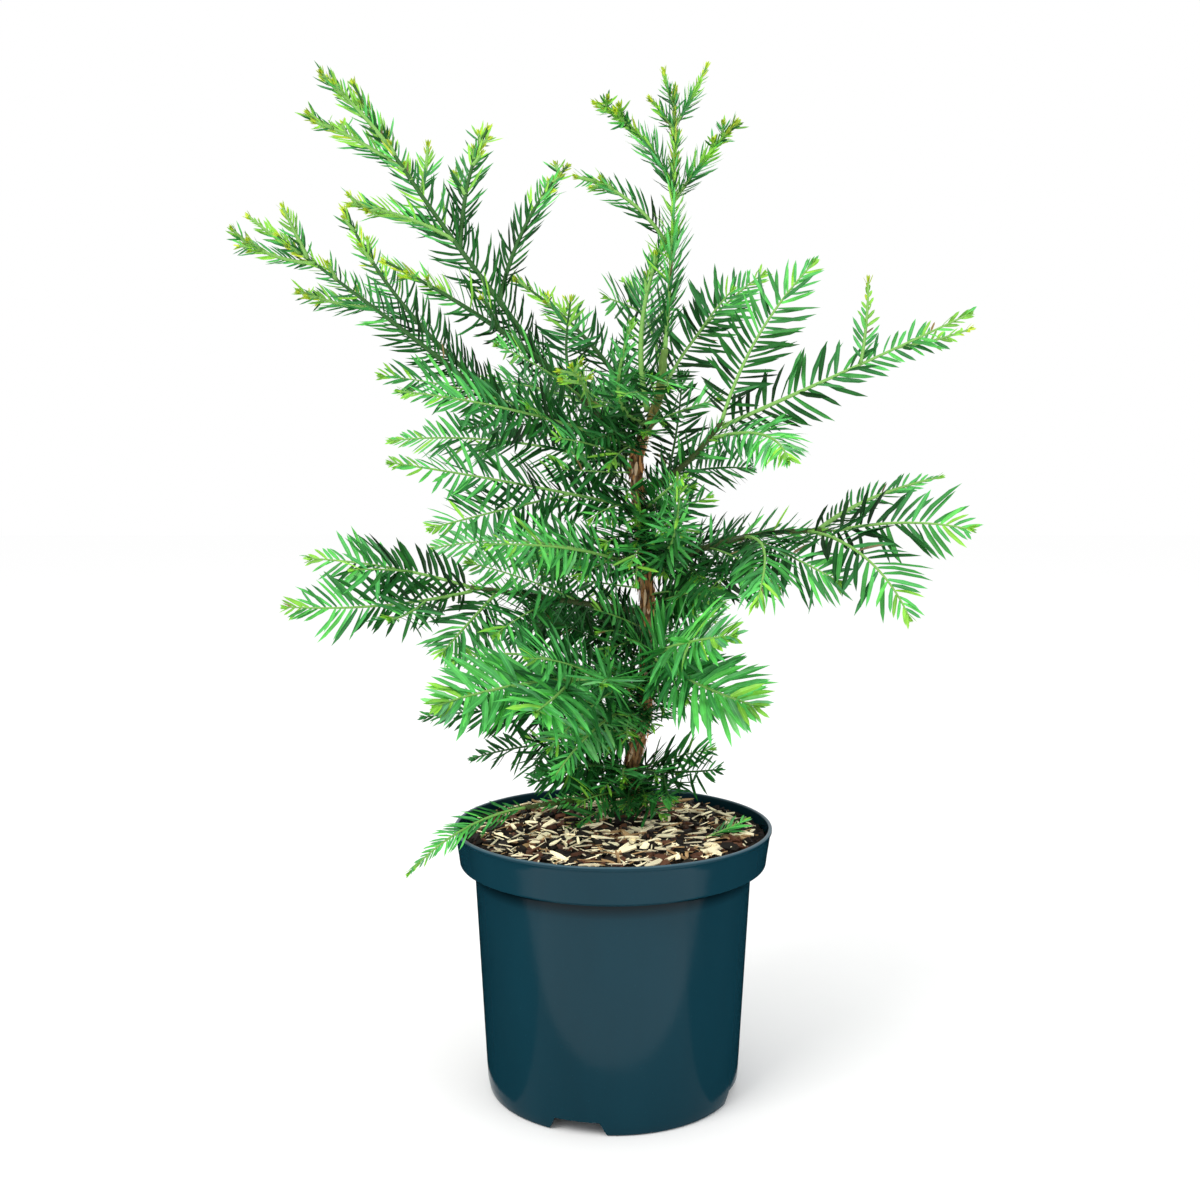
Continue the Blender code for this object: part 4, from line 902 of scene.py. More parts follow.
def twig_material(name, colour):
    material, tree, shader = new_material(name, 0.55, 0.3)
    ridges = grain(tree, place(tree, (26.0, 3.0, 1.0), "UV"), 3.0, 3.0)
    to_colour(tree, shader, ramp(tree, ridges, (0.3, shade(colour, 0.6)), (0.65, colour)))
    bump(tree, shader, ridges, 0.4, 0.0003)
    return material


def needle_material(name, colour):
    """Satin needle: a paler midrib, partly a painted highlight, and each needle a little lighter and yellower
    or darker and bluer.
    """
    settings = bpy.context.scene.redwood_needles
    dull = settings.roughness
    gloss_level = 0.12 if name in ("deep", "dark") else 0.25
    material, tree, shader = new_material(f"needle_{name}", dull, gloss_level)
    cloud = grain(tree, place(tree), 85.0, 2.0)
    base = ramp(tree, cloud, (0.32, shade(colour, 0.72)), (0.68, shade(colour, 1.2)))
    lot = add_node(tree, "ShaderNodeNewGeometry").outputs["Random Per Island"]
    tint = ramp(tree, lot, (0.0, (0.6, 0.66, 0.8)), (0.5, (0.95, 0.97, 1.0)), (1.0, (1.35, 1.25, 0.95)))
    base = mix(tree, 1.0, base, tint, "MULTIPLY")
    across = add_node(tree, "ShaderNodeSeparateXYZ", Vector=place(tree, source="UV")).outputs["Y"]
    # A pale line down the middle of each needle: the midrib's colour and a painted highlight on it.
    pale_rib_and_highlight = ramp(tree, across, (0.36, 0.0), (0.5, 0.35), (0.64, 0.0))
    to_colour(tree, shader, mix(tree, pale_rib_and_highlight, base, shade(colour, 1.9)))
    gloss = grain(tree, place(tree), 320.0, 2.0)
    to_roughness(tree, shader, ramp(tree, gloss, (0.3, dull - 0.08), (0.7, dull + 0.1)))
    bump(tree, shader, grain(tree, place(tree, (4.0, 60.0, 1.0), "UV"), 2.0, 2.0), 0.25, 0.0002)
    return material


# ---------------------------------------------------------------- settings


def colour_property(label, words, colour):
    return FloatVectorProperty(
        name=label, description=words, subtype="COLOR", size=3, default=colour, min=0, max=1
    )


def length_property(label, words, metres, least, most, digits=3):
    return FloatProperty(
        name=label, description=words, subtype="DISTANCE", unit="LENGTH",
        default=metres, min=least, max=most, precision=digits,
    )


def share_property(label, words, share, least, most):
    return FloatProperty(
        name=label, description=words, subtype="FACTOR", default=share, min=least, max=most
    )


def count_property(label, words, count, most):
    return IntProperty(name=label, description=words, default=count, min=0, max=most)


class PotSettings(PropertyGroup):
    colour: colour_property("Plastic", "Colour of the moulded plastic", (0.0045, 0.032, 0.048))
    # The lip colour is a painted highlight along the rim's edge.
    lip_highlight_colour: colour_property("Lip", "Colour of the rubbed edge of the rim", (0.12, 0.2, 0.25))
    roughness: share_property("Roughness", "How dull the plastic is", 0.15, 0.05, 1)


class MixSettings(PropertyGroup):
    soil_colour: colour_property("Soil", "Colour of the fine mix", (0.011, 0.007, 0.0045))
    bark_colour: colour_property("Bark chips", "Colour of the reddish bark chips", (0.1, 0.038, 0.018))
    wood_colour: colour_property("Wood chips", "Colour of the pale split wood", (1.0, 0.87, 0.59))
    tan_colour: colour_property("Tan chips", "Colour of the weathered wood", (0.42, 0.26, 0.12))
    splinters: count_property("Splinters", "Number of pale slivers of wood", 900, 3000)
    bark_chips: count_property("Bark chips", "Number of dark bark pieces", 470, 3000)
    crumbs: count_property("Crumbs", "Number of small dark crumbs", 1100, 5000)


class BarkSettings(PropertyGroup):
    relief: length_property("Relief", "Depth of the bark's furrows", 0.0008, 0, 0.003, 5)
    flakes: count_property("Flakes", "Number of loose scales of bark on the trunk", 230, 3000)
    dry_twigs: count_property("Dry twigs", "Number of thin dead twigs on the lower trunk", 26, 300)
    dry_colour: colour_property("Dry wood", "Colour of the dead twigs", (0.22, 0.12, 0.055))
    # The furrow colour is partly the bark's own and partly painted shade.
    furrow_and_shade_colour: colour_property("Furrows", "Colour deep in the bark", (0.026, 0.012, 0.006))
    bark_colour: colour_property("Bark", "Main colour of the bark", (0.15, 0.075, 0.03))
    flake_colour: colour_property("Flake colour", "Colour of the lifting flakes", (0.5, 0.23, 0.08))
    pale_colour: colour_property("Pale patches", "Colour where flakes have come away", (0.7, 0.5, 0.32))
    young_colour: colour_property("Young stem", "Colour of the green stem near the top", (0.16, 0.3, 0.06))
    bough_colour: colour_property("Boughs", "Colour of the boughs' thin bark", (0.06, 0.09, 0.02))
    green_from: length_property("Green from", "Height where the trunk starts to green", 0.385, 0, 1)
    green_full: length_property("All green", "Height above which the trunk is green", 0.43, 0, 1)


class NeedleSettings(PropertyGroup):
    length: length_property("Length", "Length of the longest needles", 0.0225, 0.005, 0.05, 4)
    width: length_property("Width", "Width of a needle", 0.0021, 0.0005, 0.004, 5)
    pitch: length_property("Pitch", "Distance from a needle to the next on its side", 0.0033, 0.001, 0.01, 5)
    inner_share: share_property("Inner shoots", "Share of the short shoots that fill the inside", 1.0, 0, 2)
    roughness: share_property("Roughness", "How dull the needles are", 0.36, 0.2, 1)
    # The deep and dark tones are partly the older needles' own colour and partly painted shade inside the
    # crown.
    deep: colour_property("Deep", "Needles deep inside the crown", (0.005, 0.038, 0.006))
    dark: colour_property("Dark", "Older needles", (0.013, 0.108, 0.018))
    mid: colour_property("Mid", "Grown needles", (0.036, 0.245, 0.048))
    fresh: colour_property("Fresh", "Outer needles", (0.095, 0.5, 0.1))
    bright: colour_property("Bright", "Needles near the tips", (0.24, 0.6, 0.06))
    pale: colour_property("Pale", "Glaucous needles seen from below", (0.16, 0.5, 0.18))
    tip: colour_property("Tip", "Yellow-green new growth", (0.45, 0.62, 0.035))
    dry: colour_property("Dry", "The few needles that have dried", (0.24, 0.17, 0.07))
    twig_colour: colour_property("Young twigs", "Skin of the light green twigs", (0.26, 0.56, 0.12))
    dark_twig_colour: colour_property("Old twigs", "Skin of the darker twigs", (0.032, 0.14, 0.02))


class StageSettings(PropertyGroup):
    floor_colour: colour_property("Floor", "Colour of the floor", (0.99, 0.99, 0.99))
    sky_strength: FloatProperty(
        name="Surround", description="Strength of the pale surround", default=1.0, min=0, max=5
    )
    key_power: FloatProperty(
        name="Key", description="Power of the main soft light in watts", default=16.0, min=0, max=500
    )
    fill_power: FloatProperty(
        name="Fill", description="Power of the fill light in watts", default=4.0, min=0, max=500
    )


# ---------------------------------------------------------------- pot


def ring_faces(rings, segments):
    """Faces of a closed solid whose points are a bottom pole, rings from the bottom up, and a top pole."""
    faces = []
    for i in range(segments):
        j = (i + 1) % segments
        faces.append((0, 1 + j, 1 + i))
        for k in range(rings - 1):
            a, b = 1 + k * segments, 1 + (k + 1) * segments
            faces.append((a + i, a + j, b + j, b + i))
        last = 1 + (rings - 1) * segments
        faces.append((last + i, last + j, last + segments))
    return faces


def arc(centre, radius, start, stop, count):
    """Points of a rounding, as radius and height."""
    points = []
    for k in range(count):
        a = math.radians(start + (stop - start) * k / (count - 1))
        points.append((centre[0] + radius * math.cos(a), centre[1] + radius * math.sin(a)))
    return points


def pot_profile():
    """The pot's section from the middle of its underside round to the middle of its floor."""
    under = POT_HEIGHT - COLLAR_DEPTH
    outside = [
        (CENTRE_PAD_RADIUS, 0.0),
        (CENTRE_PAD_RADIUS + PAD_SLOPE, FLOOR_RAISE),
        (CHANNEL_RADIUS, FLOOR_RAISE),
        (FOOT_RADIUS - FOOT_RING_WIDTH, 0.3),
        (FOOT_RADIUS - FOOT_RING_WIDTH + 0.4, 0.0),
        (FOOT_RADIUS - 0.6, 0.0),
    ]
    outside += arc((FOOT_RADIUS - 0.4, 1.6), 1.6, -80, -20, 4)
    outside += [(WALL_FOOT_RADIUS - 0.35, FOOT_ROUNDING - 1.0), (WALL_FOOT_RADIUS, FOOT_ROUNDING + 1.0)]
    outside += [
        (WALL_FOOT_RADIUS + (WALL_TOP_RADIUS - WALL_FOOT_RADIUS) * k / 12,
         FOOT_ROUNDING + (under - COLLAR_UNDERCUT - FOOT_ROUNDING) * k / 12)
        for k in range(1, 13)
    ]
    outside += arc((WALL_TOP_RADIUS + 1.6, under - COLLAR_UNDERCUT + 0.2), 1.6, 180, 110, 5)
    outside += arc((COLLAR_FOOT_RADIUS - 1.5, under + 0.3), 1.5, -75, 0, 6)
    outside += [
        (COLLAR_FOOT_RADIUS + (RIM_RADIUS - 0.9 - COLLAR_FOOT_RADIUS) * k / 5,
         under + 1.0 + (COLLAR_DEPTH - 4.2) * k / 5)
        for k in range(1, 6)
    ]
    outside += arc((RIM_RADIUS - 1.1, POT_HEIGHT - 1.5), 1.1, -60, 0, 4)
    outside += arc((RIM_RADIUS - 0.8, POT_HEIGHT - 0.8), 0.8, 10, 90, 5)
    inside = arc((RIM_RADIUS - LIP + 0.6, POT_HEIGHT - 0.6), 0.6, 90, 180, 4)
    inside += [
        (RIM_RADIUS - LIP - 0.3, POT_HEIGHT - 4.0),
        (COLLAR_FOOT_RADIUS - WALL - 0.4, under + WALL),
        (COLLAR_FOOT_RADIUS - WALL - 2.1, under + 0.4),
        (WALL_TOP_RADIUS - WALL + 1.0, under - 1.8),
        (WALL_TOP_RADIUS - WALL, under - COLLAR_UNDERCUT),
        (WALL_FOOT_RADIUS - WALL, FLOOR_RAISE + WALL),
        (CENTRE_PAD_RADIUS + PAD_SLOPE - WALL, FLOOR_RAISE + WALL),
        (CENTRE_PAD_RADIUS - WALL, POT_FLOOR),
    ]
    return outside + inside


def prism(name, low, high):
    """A cutter between two rings of points."""
    count = len(low)
    faces = [tuple(range(count - 1, -1, -1)), tuple(range(count, 2 * count))]
    faces += ring_quads(0, count, count)
    obj = mesh_object(name, list(low) + list(high), faces, None, smooth=False)
    shell = bmesh.new()
    shell.from_mesh(obj.data)
    bmesh.ops.recalc_face_normals(shell, faces=shell.faces)
    shell.to_mesh(obj.data)
    shell.free()
    return obj


def notch_cutter(name, azimuth):
    """The block that cuts one notch, which narrows upwards, through the foot ring."""
    a = math.radians(azimuth)
    inner, outer = FOOT_RADIUS - FOOT_RING_WIDTH - CUT_PAST * 2, WALL_FOOT_RADIUS + CUT_PAST * 2
    wide, narrow = NOTCH_WIDTHS[0] / 2, NOTCH_WIDTHS[1] / 2
    wide += (wide - narrow) * CUT_PAST / NOTCH_HEIGHT
    corners = ((-wide, -CUT_PAST), (wide, -CUT_PAST), (narrow, NOTCH_HEIGHT), (-narrow, NOTCH_HEIGHT))
    ends = []
    for radius in (inner, outer):
        ends.append([
            (radius * math.cos(a) - half * math.sin(a), radius * math.sin(a) + half * math.cos(a), height)
            for half, height in corners
        ])
    return prism(name, *ends)


def drain_cutter(name, azimuth):
    """The round pin that cuts one drainage hole through the raised floor."""
    a = math.radians(azimuth)
    radius = (CENTRE_PAD_RADIUS + PAD_SLOPE + CHANNEL_RADIUS) / 2
    x, y = radius * math.cos(a), radius * math.sin(a)
    turns = [2 * math.pi * i / DRAIN_SEGMENTS for i in range(DRAIN_SEGMENTS)]
    ends = []
    for height in (FLOOR_RAISE - CUT_PAST, FLOOR_RAISE + WALL + CUT_PAST):
        ends.append([(x + DRAIN_RADIUS * math.cos(t), y + DRAIN_RADIUS * math.sin(t), height) for t in turns])
    return prism(name, *ends)


def pot_cutters():
    """The notches in the foot ring and the drainage holes in the raised floor."""
    cutters = [notch_cutter(f"notch_{k}", NOTCH_AZIMUTH + 360 * k / NOTCHES) for k in range(NOTCHES)]
    for k in range(DRAIN_HOLES):
        cutters.append(drain_cutter(f"drain_{k}", NOTCH_AZIMUTH + 360 * (k + 0.5) / DRAIN_HOLES))
    return cutters


def cut_away(obj, cutters):
    group = bpy.data.collections.new("cutters")
    bpy.context.scene.collection.children.link(group)
    for cutter in cutters:
        bpy.context.scene.collection.objects.unlink(cutter)
        group.objects.link(cutter)
    modifier = obj.modifiers.new("Cut", "BOOLEAN")
    modifier.operation = "DIFFERENCE"
    modifier.solver = "EXACT"
    modifier.operand_type = "COLLECTION"
    modifier.collection = group
    evaluated = obj.evaluated_get(bpy.context.evaluated_depsgraph_get())
    mesh = bpy.data.meshes.new_from_object(evaluated)
    obj.modifiers.clear()
    obj.data = mesh
    for cutter in cutters:
        bpy.data.objects.remove(cutter, do_unlink=True)
    bpy.data.collections.remove(group)


class REDWOOD_OT_pot(Operator):
    """Turn the pot with its rounded lip, collar, foot notches and drainage holes"""

    bl_idname = "redwood.pot"
    bl_label = "Pot"

    def execute(self, context):
        profile = pot_profile()
        points = [(0.0, 0.0, 0.0)]
        for radius, height in profile:
            for i in range(POT_SEGMENTS):
                a = 2 * math.pi * i / POT_SEGMENTS
                points.append((radius * math.cos(a), radius * math.sin(a), height))
        points.append((0.0, 0.0, POT_FLOOR))
        pot = mesh_object("moulded_pot", points, ring_faces(len(profile), POT_SEGMENTS), pot_material())
        cut_away(pot, pot_cutters())
        pot.data.shade_smooth()
        pot.data.set_sharp_from_angle(angle=math.radians(SHARP_FROM))
        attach(pot, BODY)
        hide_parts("pot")
        return {"FINISHED"}


# ---------------------------------------------------------------- potting mix


def soil_height(x, y):
    """The potting mix's surface: level, and mounded round the trunk's foot."""
    foot = trunk_point(TRUNK_COURSE[0][0])
    distance = math.hypot(x - foot[0], y - foot[1])
    seat_height = TRUNK_COURSE[0][0] - GAP
    share = min(1.0, max(0.0, distance - SOIL_SEAT_RADIUS) / SOIL_MOUND_WIDTH)
    return SOIL_LEVEL + (seat_height - SOIL_LEVEL) * (1 - share) ** 2


class REDWOOD_OT_potting_mix(Operator):
    """Spread the dark fine mix between the pot's walls"""

    bl_idname = "redwood.potting_mix"
    bl_label = "Potting mix"

    def execute(self, context):
        points, faces = [(0.0, 0.0, soil_height(0.0, 0.0))], []
        for k in range(1, SOIL_RINGS + 1):
            radius = SOIL_RADIUS * k / SOIL_RINGS
            for i in range(SOIL_SPOKES):
                a = 2 * math.pi * i / SOIL_SPOKES
                x, y = radius * math.cos(a), radius * math.sin(a)
                height = soil_height(x, y) - SOIL_SINK
                for scale, level, rough, step, octaves, rise in SOIL_LUMPS:
                    spot = Vector((x * scale, y * scale, level))
                    height += noise.fractal(spot, rough, step, octaves) * rise
                points.append((x, y, height))
        for i in range(SOIL_SPOKES):
            faces.append((0, 1 + i, 1 + (i + 1) % SOIL_SPOKES))
        for k in range(SOIL_RINGS - 1):
            a, b = 1 + k * SOIL_SPOKES, 1 + (k + 1) * SOIL_SPOKES
            for i in range(SOIL_SPOKES):
                j = (i + 1) % SOIL_SPOKES
                faces.append((a + i, b + i, b + j, a + j))
        soil = mesh_object("potting_mix_surface", points, faces, mix_material())
        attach(soil, BODY)
        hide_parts("potting_mix")
        return {"FINISHED"}


def chip_place(rng, keep_from_rim):
    """A spot on the mix, away from the trunk's foot."""
    foot = trunk_point(TRUNK_COURSE[0][0])
    while True:
        a, radius = rng.uniform(0, 2 * math.pi), (SOIL_RADIUS - keep_from_rim) * rng.random() ** 0.5
        x, y = radius * math.cos(a), radius * math.sin(a)
        if math.hypot(x - foot[0], y - foot[1]) > CLEAR_OF_TRUNK:
            return x, y


def make_chip(rng, size, lift, ends):
    """A split piece of wood or bark: a bent slab of three sections with ragged, narrowing ends."""
    length, width, height = size
    x, y = chip_place(rng, CHIP_MARGIN + length * 0.3)
    turn = rng.uniform(0, 2 * math.pi)
    pitch, roll = math.radians(rng.gauss(0, CHIP_TILT * 0.5)), math.radians(rng.gauss(0, CHIP_TILT))
    sag = rng.uniform(-CHIP_BOW, CHIP_BOW) * length
    z = soil_height(x, y) + rng.uniform(-CHIP_SINK, lift) + height * 0.4
    ahead = np.array((math.cos(turn) * math.cos(pitch), math.sin(turn) * math.cos(pitch), math.sin(pitch)))
    flat = np.array((-math.sin(turn), math.cos(turn), 0.0))
    up = np.cross(ahead, flat)
    side = flat * math.cos(roll) + up * math.sin(roll)
    up = np.cross(ahead, side)
    tapers = (rng.uniform(ends, 1.0), 1.0, rng.uniform(0.75, 1.0), rng.uniform(0.15, ends + 0.3))
    points, uvs = [], []
    shift = rng.random() * 7
    for share, taper in zip((-0.5, -0.18, 0.2, 0.5), tapers):
        bow = sag * (0.25 - share * share) * 1.6
        skew = rng.uniform(-CHIP_SKEW, CHIP_SKEW) * length
        for across, top in ((-1, -1), (1, -1), (1, 1), (-1, 1)):
            jitter = 1 + rng.uniform(-CHIP_RAGGED, CHIP_RAGGED)
            offset = ahead * (share * length + (skew * 0.4 * across if abs(share) == 0.5 else 0))
            offset = offset + side * (across * width / 2 * taper * jitter + bow)
            offset = offset + up * (top * height / 2 * (0.55 + 0.45 * taper))
            points.append(np.array((x, y, z)) + offset)
            uvs.append((shift + share * length * 0.1, shift + across * width * 0.05 + top * 0.02))
    faces = [(0, 3, 2, 1), (12, 13, 14, 15)]
    for k in range(3):
        faces += ring_quads(4 * k, 4 * (k + 1), 4)
    return points, faces, uvs


def splinter_limits(number):
    """The limits of a splinter's size: a few are large, some are of middle size and most are fine."""
    if number % LARGE_EVERY == 0:
        return LARGE_SPLINTERS
    return FINE_SPLINTERS if number % MIDDLE_EVERY else MIDDLE_SPLINTERS


def make_crumb(rng, size):
    """A rough little clod."""
    x, y = chip_place(rng, CRUMB_MARGIN)
    z = soil_height(x, y) + rng.uniform(-0.5, 0.5)
    corners = ((1, 0, 0), (-1, 0, 0), (0, 1, 0), (0, -1, 0), (0, 0, 1), (0, 0, -1))
    points = []
    for corner in corners:
        reach = size * rng.uniform(0.45, 1.0)
        drift = np.array([rng.uniform(-0.2, 0.2) * size for _ in range(3)])
        points.append(np.array((x, y, z)) + np.array(corner) * reach + drift)
    faces = [(0, 2, 4), (2, 1, 4), (1, 3, 4), (3, 0, 4), (2, 0, 5), (1, 2, 5), (3, 1, 5), (0, 3, 5)]
    return points, faces, [(0.1 * i, 0.3 * i) for i in range(6)]


class REDWOOD_OT_chips(Operator):
    """Scatter splinters, bark chips and crumbs over the mix"""

    bl_idname = "redwood.chips"
    bl_label = "Wood and bark chips"

    def execute(self, context):
        settings = context.scene.redwood_mix
        rng = random.Random(SEED + 3)
        kinds = {
            "pale_splinters": (chip_material("pale_split_wood", tuple(settings.wood_colour), 0.4), Batch()),
            "tan_splinters": (chip_material("weathered_wood", tuple(settings.tan_colour), 0.5), Batch()),
            "bark_chips": (chip_material("reddish_bark_chip", tuple(settings.bark_colour), 0.6), Batch()),
            "dark_crumbs": (chip_material("dark_humus", shade(settings.soil_colour, 0.9), 0.5), Batch()),
        }
        for _ in range(settings.bark_chips):
            size = [rng.uniform(*limits) for limits in CHUNK_SIZES]
            kind = "bark_chips" if rng.random() < REDDISH_SHARE else "dark_crumbs"
            kinds[kind][1].add(*make_chip(rng, size, CHUNK_LIFT, CHUNK_ENDS))
        for _ in range(settings.crumbs):
            kinds["dark_crumbs"][1].add(*make_crumb(rng, rng.uniform(*CRUMB_SIZES)))
        for k in range(settings.splinters):
            kind = "pale_splinters" if rng.random() < PALE_SHARE else "tan_splinters"
            size = [rng.uniform(*limits) for limits in splinter_limits(k)]
            kinds[kind][1].add(*make_chip(rng, size, SPLINTER_LIFT, SPLINTER_ENDS))
        for name, (material, batch) in kinds.items():
            piece = batch.piece(name, material, smooth=False)
            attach(piece, BODY)
            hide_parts("potting_mix")
        return {"FINISHED"}


# ---------------------------------------------------------------- trunk and boughs


def stretched(point, across, upward):
    """A point's place in a noise that is drawn out up the stem."""
    return Vector((point[0] * across, point[1] * across, point[2] * upward))


def bark_lift(point, radius, relief):
    """How far the bark stands out at a point: long flakes with furrows between them."""
    tall = noise.fractal(stretched(point, *FURROWS), 0.8, 2.0, 4)
    plate = noise.voronoi(stretched(point, *PLATES))[0]
    height = tall * FURROW_RISE + (plate[1] - plate[0]) * PLATE_RISE
    return relief * height * min(1.0, radius / FULL_BARK_RADIUS)


class REDWOOD_OT_trunk(Operator):
    """Model the trunk with its root flare, lean and flaking bark"""

    bl_idname = "redwood.trunk"
    bl_label = "Trunk"

    def execute(self, context):
        relief = context.scene.redwood_bark.relief / MM
        foot, top = TRUNK_COURSE[0][0], TRUNK_COURSE[-1][0]
        rows = round((top - foot) / TRUNK_ROW)
        points, uvs = [], []
        for k in range(rows + 1):
            height = foot + (top - foot) * k / rows
            centre = trunk_point(height)
            flare = max(0.0, 1 - (height - foot) / FLARE_HEIGHT)
            for i in range(TRUNK_COLUMNS):
                a = 2 * math.pi * i / TRUNK_COLUMNS
                radius = trunk_radius(height) * (1 + FLARE_LOBE * flare * math.cos(3 * a + FLARE_TURN))
                way = np.array((math.cos(a), math.sin(a), 0.0))
                point = centre + way * radius
                points.append(point + way * bark_lift(point, radius, relief))
                uvs.append((k / rows, i / TRUNK_COLUMNS))
        faces = []
        for k in range(rows):
            faces += ring_quads(k * TRUNK_COLUMNS, (k + 1) * TRUNK_COLUMNS, TRUNK_COLUMNS)
        faces.append(tuple(range(TRUNK_COLUMNS - 1, -1, -1)))
        faces.append(tuple(range(rows * TRUNK_COLUMNS, (rows + 1) * TRUNK_COLUMNS)))
        trunk = mesh_object("barked_trunk", points, faces, bark_material(), uvs)
        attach(trunk, BODY)
        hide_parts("trunk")
        return {"FINISHED"}


def make_flake(rng, relief):
    """A scale of loose bark that follows the trunk and lifts at its lower end."""
    height = rng.uniform(*FLAKE_HEIGHTS)
    turn = rng.uniform(0, 2 * math.pi)
    length, width = rng.uniform(*FLAKE_LENGTHS), rng.uniform(*FLAKE_WIDTHS)
    lift = rng.uniform(*FLAKE_LIFTS)
    points, uvs = [], []
    for layer in (FLAKE_THICKNESS, 0.0):
        for row in range(FLAKE_ROWS):
            share = row / (FLAKE_ROWS - 1)
            up = height + (share - 0.5) * length
            radius = trunk_radius(up) + relief + layer + lift * (1 - share) ** 2
            half = width / 2 * math.sin(math.pi * (0.12 + 0.76 * share)) * rng.uniform(0.75, 1.15)
            for across in (-1, 0, 1):
                a = turn + (across * half + 0.25 * width * share) / radius
                points.append(trunk_point(up) + np.array((math.cos(a), math.sin(a), 0.0)) * radius)
                uvs.append((share * length * 0.1, across * 0.1 + height))
    faces = []
    under = 3 * FLAKE_ROWS
    for row in range(FLAKE_ROWS - 1):
        for k in range(2):
            a, b = 3 * row + k, 3 * (row + 1) + k
            faces.append((a, a + 1, b + 1, b))
            faces.append((under + a, under + b, under + b + 1, under + a + 1))
        a, b = 3 * row, 3 * (row + 1)
        faces.append((a, b, under + b, under + a))
        faces.append((a + 2, under + a + 2, under + b + 2, b + 2))
    last = 3 * (FLAKE_ROWS - 1)
    for k in range(2):
        faces.append((k + 1, k, under + k, under + k + 1))
        faces.append((last + k, last + k + 1, under + last + k + 1, under + last + k))
    return points, faces, uvs


def dry_twig(rng):
    """The path and girths of a thin dead twig left on the lower trunk."""
    path = limb_off_trunk(DRY_RADIUS, *(rng.uniform(*pair) for pair in DRY_LIMITS))
    return path, np.linspace(DRY_RADIUS, DRY_RADIUS * DRY_TAPER, len(path))


class REDWOOD_OT_bark_flakes(Operator):
    """Add loose scales of bark and thin dead twigs to the trunk"""

    bl_idname = "redwood.bark_flakes"
    bl_label = "Bark flakes and dry twigs"

    def execute(self, context):
        settings = context.scene.redwood_bark
        rng = random.Random(SEED + 31)
        pale, tan, dry = Batch(), Batch(), Batch()
        for _ in range(settings.flakes):
            batch = pale if rng.random() < PALE_FLAKES else tan
            batch.add(*make_flake(rng, settings.relief / MM))
        for _ in range(settings.dry_twigs):
            path, girths = dry_twig(rng)
            dry.add(*tube(path, girths, SHOOT_SIDES, TWIG_RUN))
        for name, batch, colour in (
            ("pale_bark_flakes", pale, settings.pale_colour),
            ("bark_flakes", tan, settings.flake_colour),
            ("dry_twigs", dry, settings.dry_colour),
        ):
            material = chip_material(f"{name}_fibre", tuple(colour), 0.5)
            piece = batch.piece(name, material, smooth=name == "dry_twigs")
            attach(piece, BODY)
            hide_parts("trunk")
        return {"FINISHED"}


class REDWOOD_OT_boughs(Operator):
    """Model the boughs with their thin ridged bark"""

    bl_idname = "redwood.boughs"
    bl_label = "Boughs"

    def execute(self, context):
        relief = context.scene.redwood_bark.relief / MM
        paths, radii = bough_paths(BOUGH_STEP)
        batch = Batch()
        for name, path in paths.items():
            girths = np.linspace(*radii[name], len(path))
            points, faces, uvs = tube(path, girths, BOUGH_COLUMNS, BOUGH_RUN)
            lifted = []
            for index, point in enumerate(points):
                row = index // BOUGH_COLUMNS
                way = unit(point - path[row])
                lifted.append(point + way * bark_lift(point * BOUGH_BARK_SCALE, girths[row], relief))
            batch.add(lifted, faces, uvs)
        boughs = batch.piece("barked_boughs", bough_material())
        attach(boughs, BODY)
        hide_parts(*paths)
        return {"FINISHED"}


# ---------------------------------------------------------------- shoots and needles


class REDWOOD_OT_twigs(Operator):
    """Model the green stems and twigs that carry the needles"""

    bl_idname = "redwood.twigs"
    bl_label = "Stems and twigs"

    def execute(self, context):
        settings = context.scene.redwood_needles
        kinds = {
            "green_twigs": (twig_material("green_twig_skin", tuple(settings.twig_colour)), Batch(), FRESH),
            "dark_twigs": (twig_material("dark_twig_skin", tuple(settings.dark_twig_colour)), Batch(), DARK),
        }
        for shoot in crown():
            if shoot.owner.startswith("bough_"):
                continue
            radii = np.linspace(*shoot.radii, len(shoot.path))
            kind = "dark_twigs" if shoot.tone in (DARK, SHADED) else "green_twigs"
            kinds[kind][1].add(*tube(shoot.path, radii, SHOOT_SIDES, TWIG_RUN, shoot.face))
        for name, (material, batch, slot) in kinds.items():
            twigs = batch.piece(name, material)
            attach(twigs, BODY)
            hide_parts(*(mass.limb.name for mass in MASSES))
        return {"FINISHED"}


def needle_reach(share, fade):
    """How long a needle is for its place on the shoot, as a share of the longest."""
    places = (0.0, 0.08, 0.3, fade - 0.2, fade, 1.0)
    return float(np.interp(share, places, (0.5, 0.72, 1.0, 1.0, 0.56, 0.26)))


def needle_tone(shoot, share, rng):
    """The tone of a needle: darker inside the crown, partly as painted shade, yellow-green on the newest
    growth.
    """
    if rng.random() < DRY_SHARE:
        return "dry"
    place_on = share + rng.gauss(0, TONE_SCATTER)
    for tone, limit in TONES[shoot.tone]:
        if place_on < limit:
            return tone
    return TONES[shoot.tone][-1][0]


def needle_faces():
    """The faces of a needle: two at its root, two strips of two along it, and two at its point."""
    faces = [(0, 1, 2), (0, 2, 3)]
    for k in (1, 4):
        faces += [(k, k + 3, k + 4, k + 1), (k + 1, k + 4, k + 5, k + 2)]
    return faces + [(7, 10, 8), (8, 10, 9)]


def needle_uvs():
    """How far along and across a needle each of its points lies."""
    uvs = [(0.0, 0.5)]
    for share, _ in NEEDLE_STATIONS:
        uvs += [(share, across) for across in (0.0, 0.5, 1.0)]
    return uvs + [(1.0, 0.5)]


NEEDLE_FACES = needle_faces()
NEEDLE_UVS = needle_uvs()


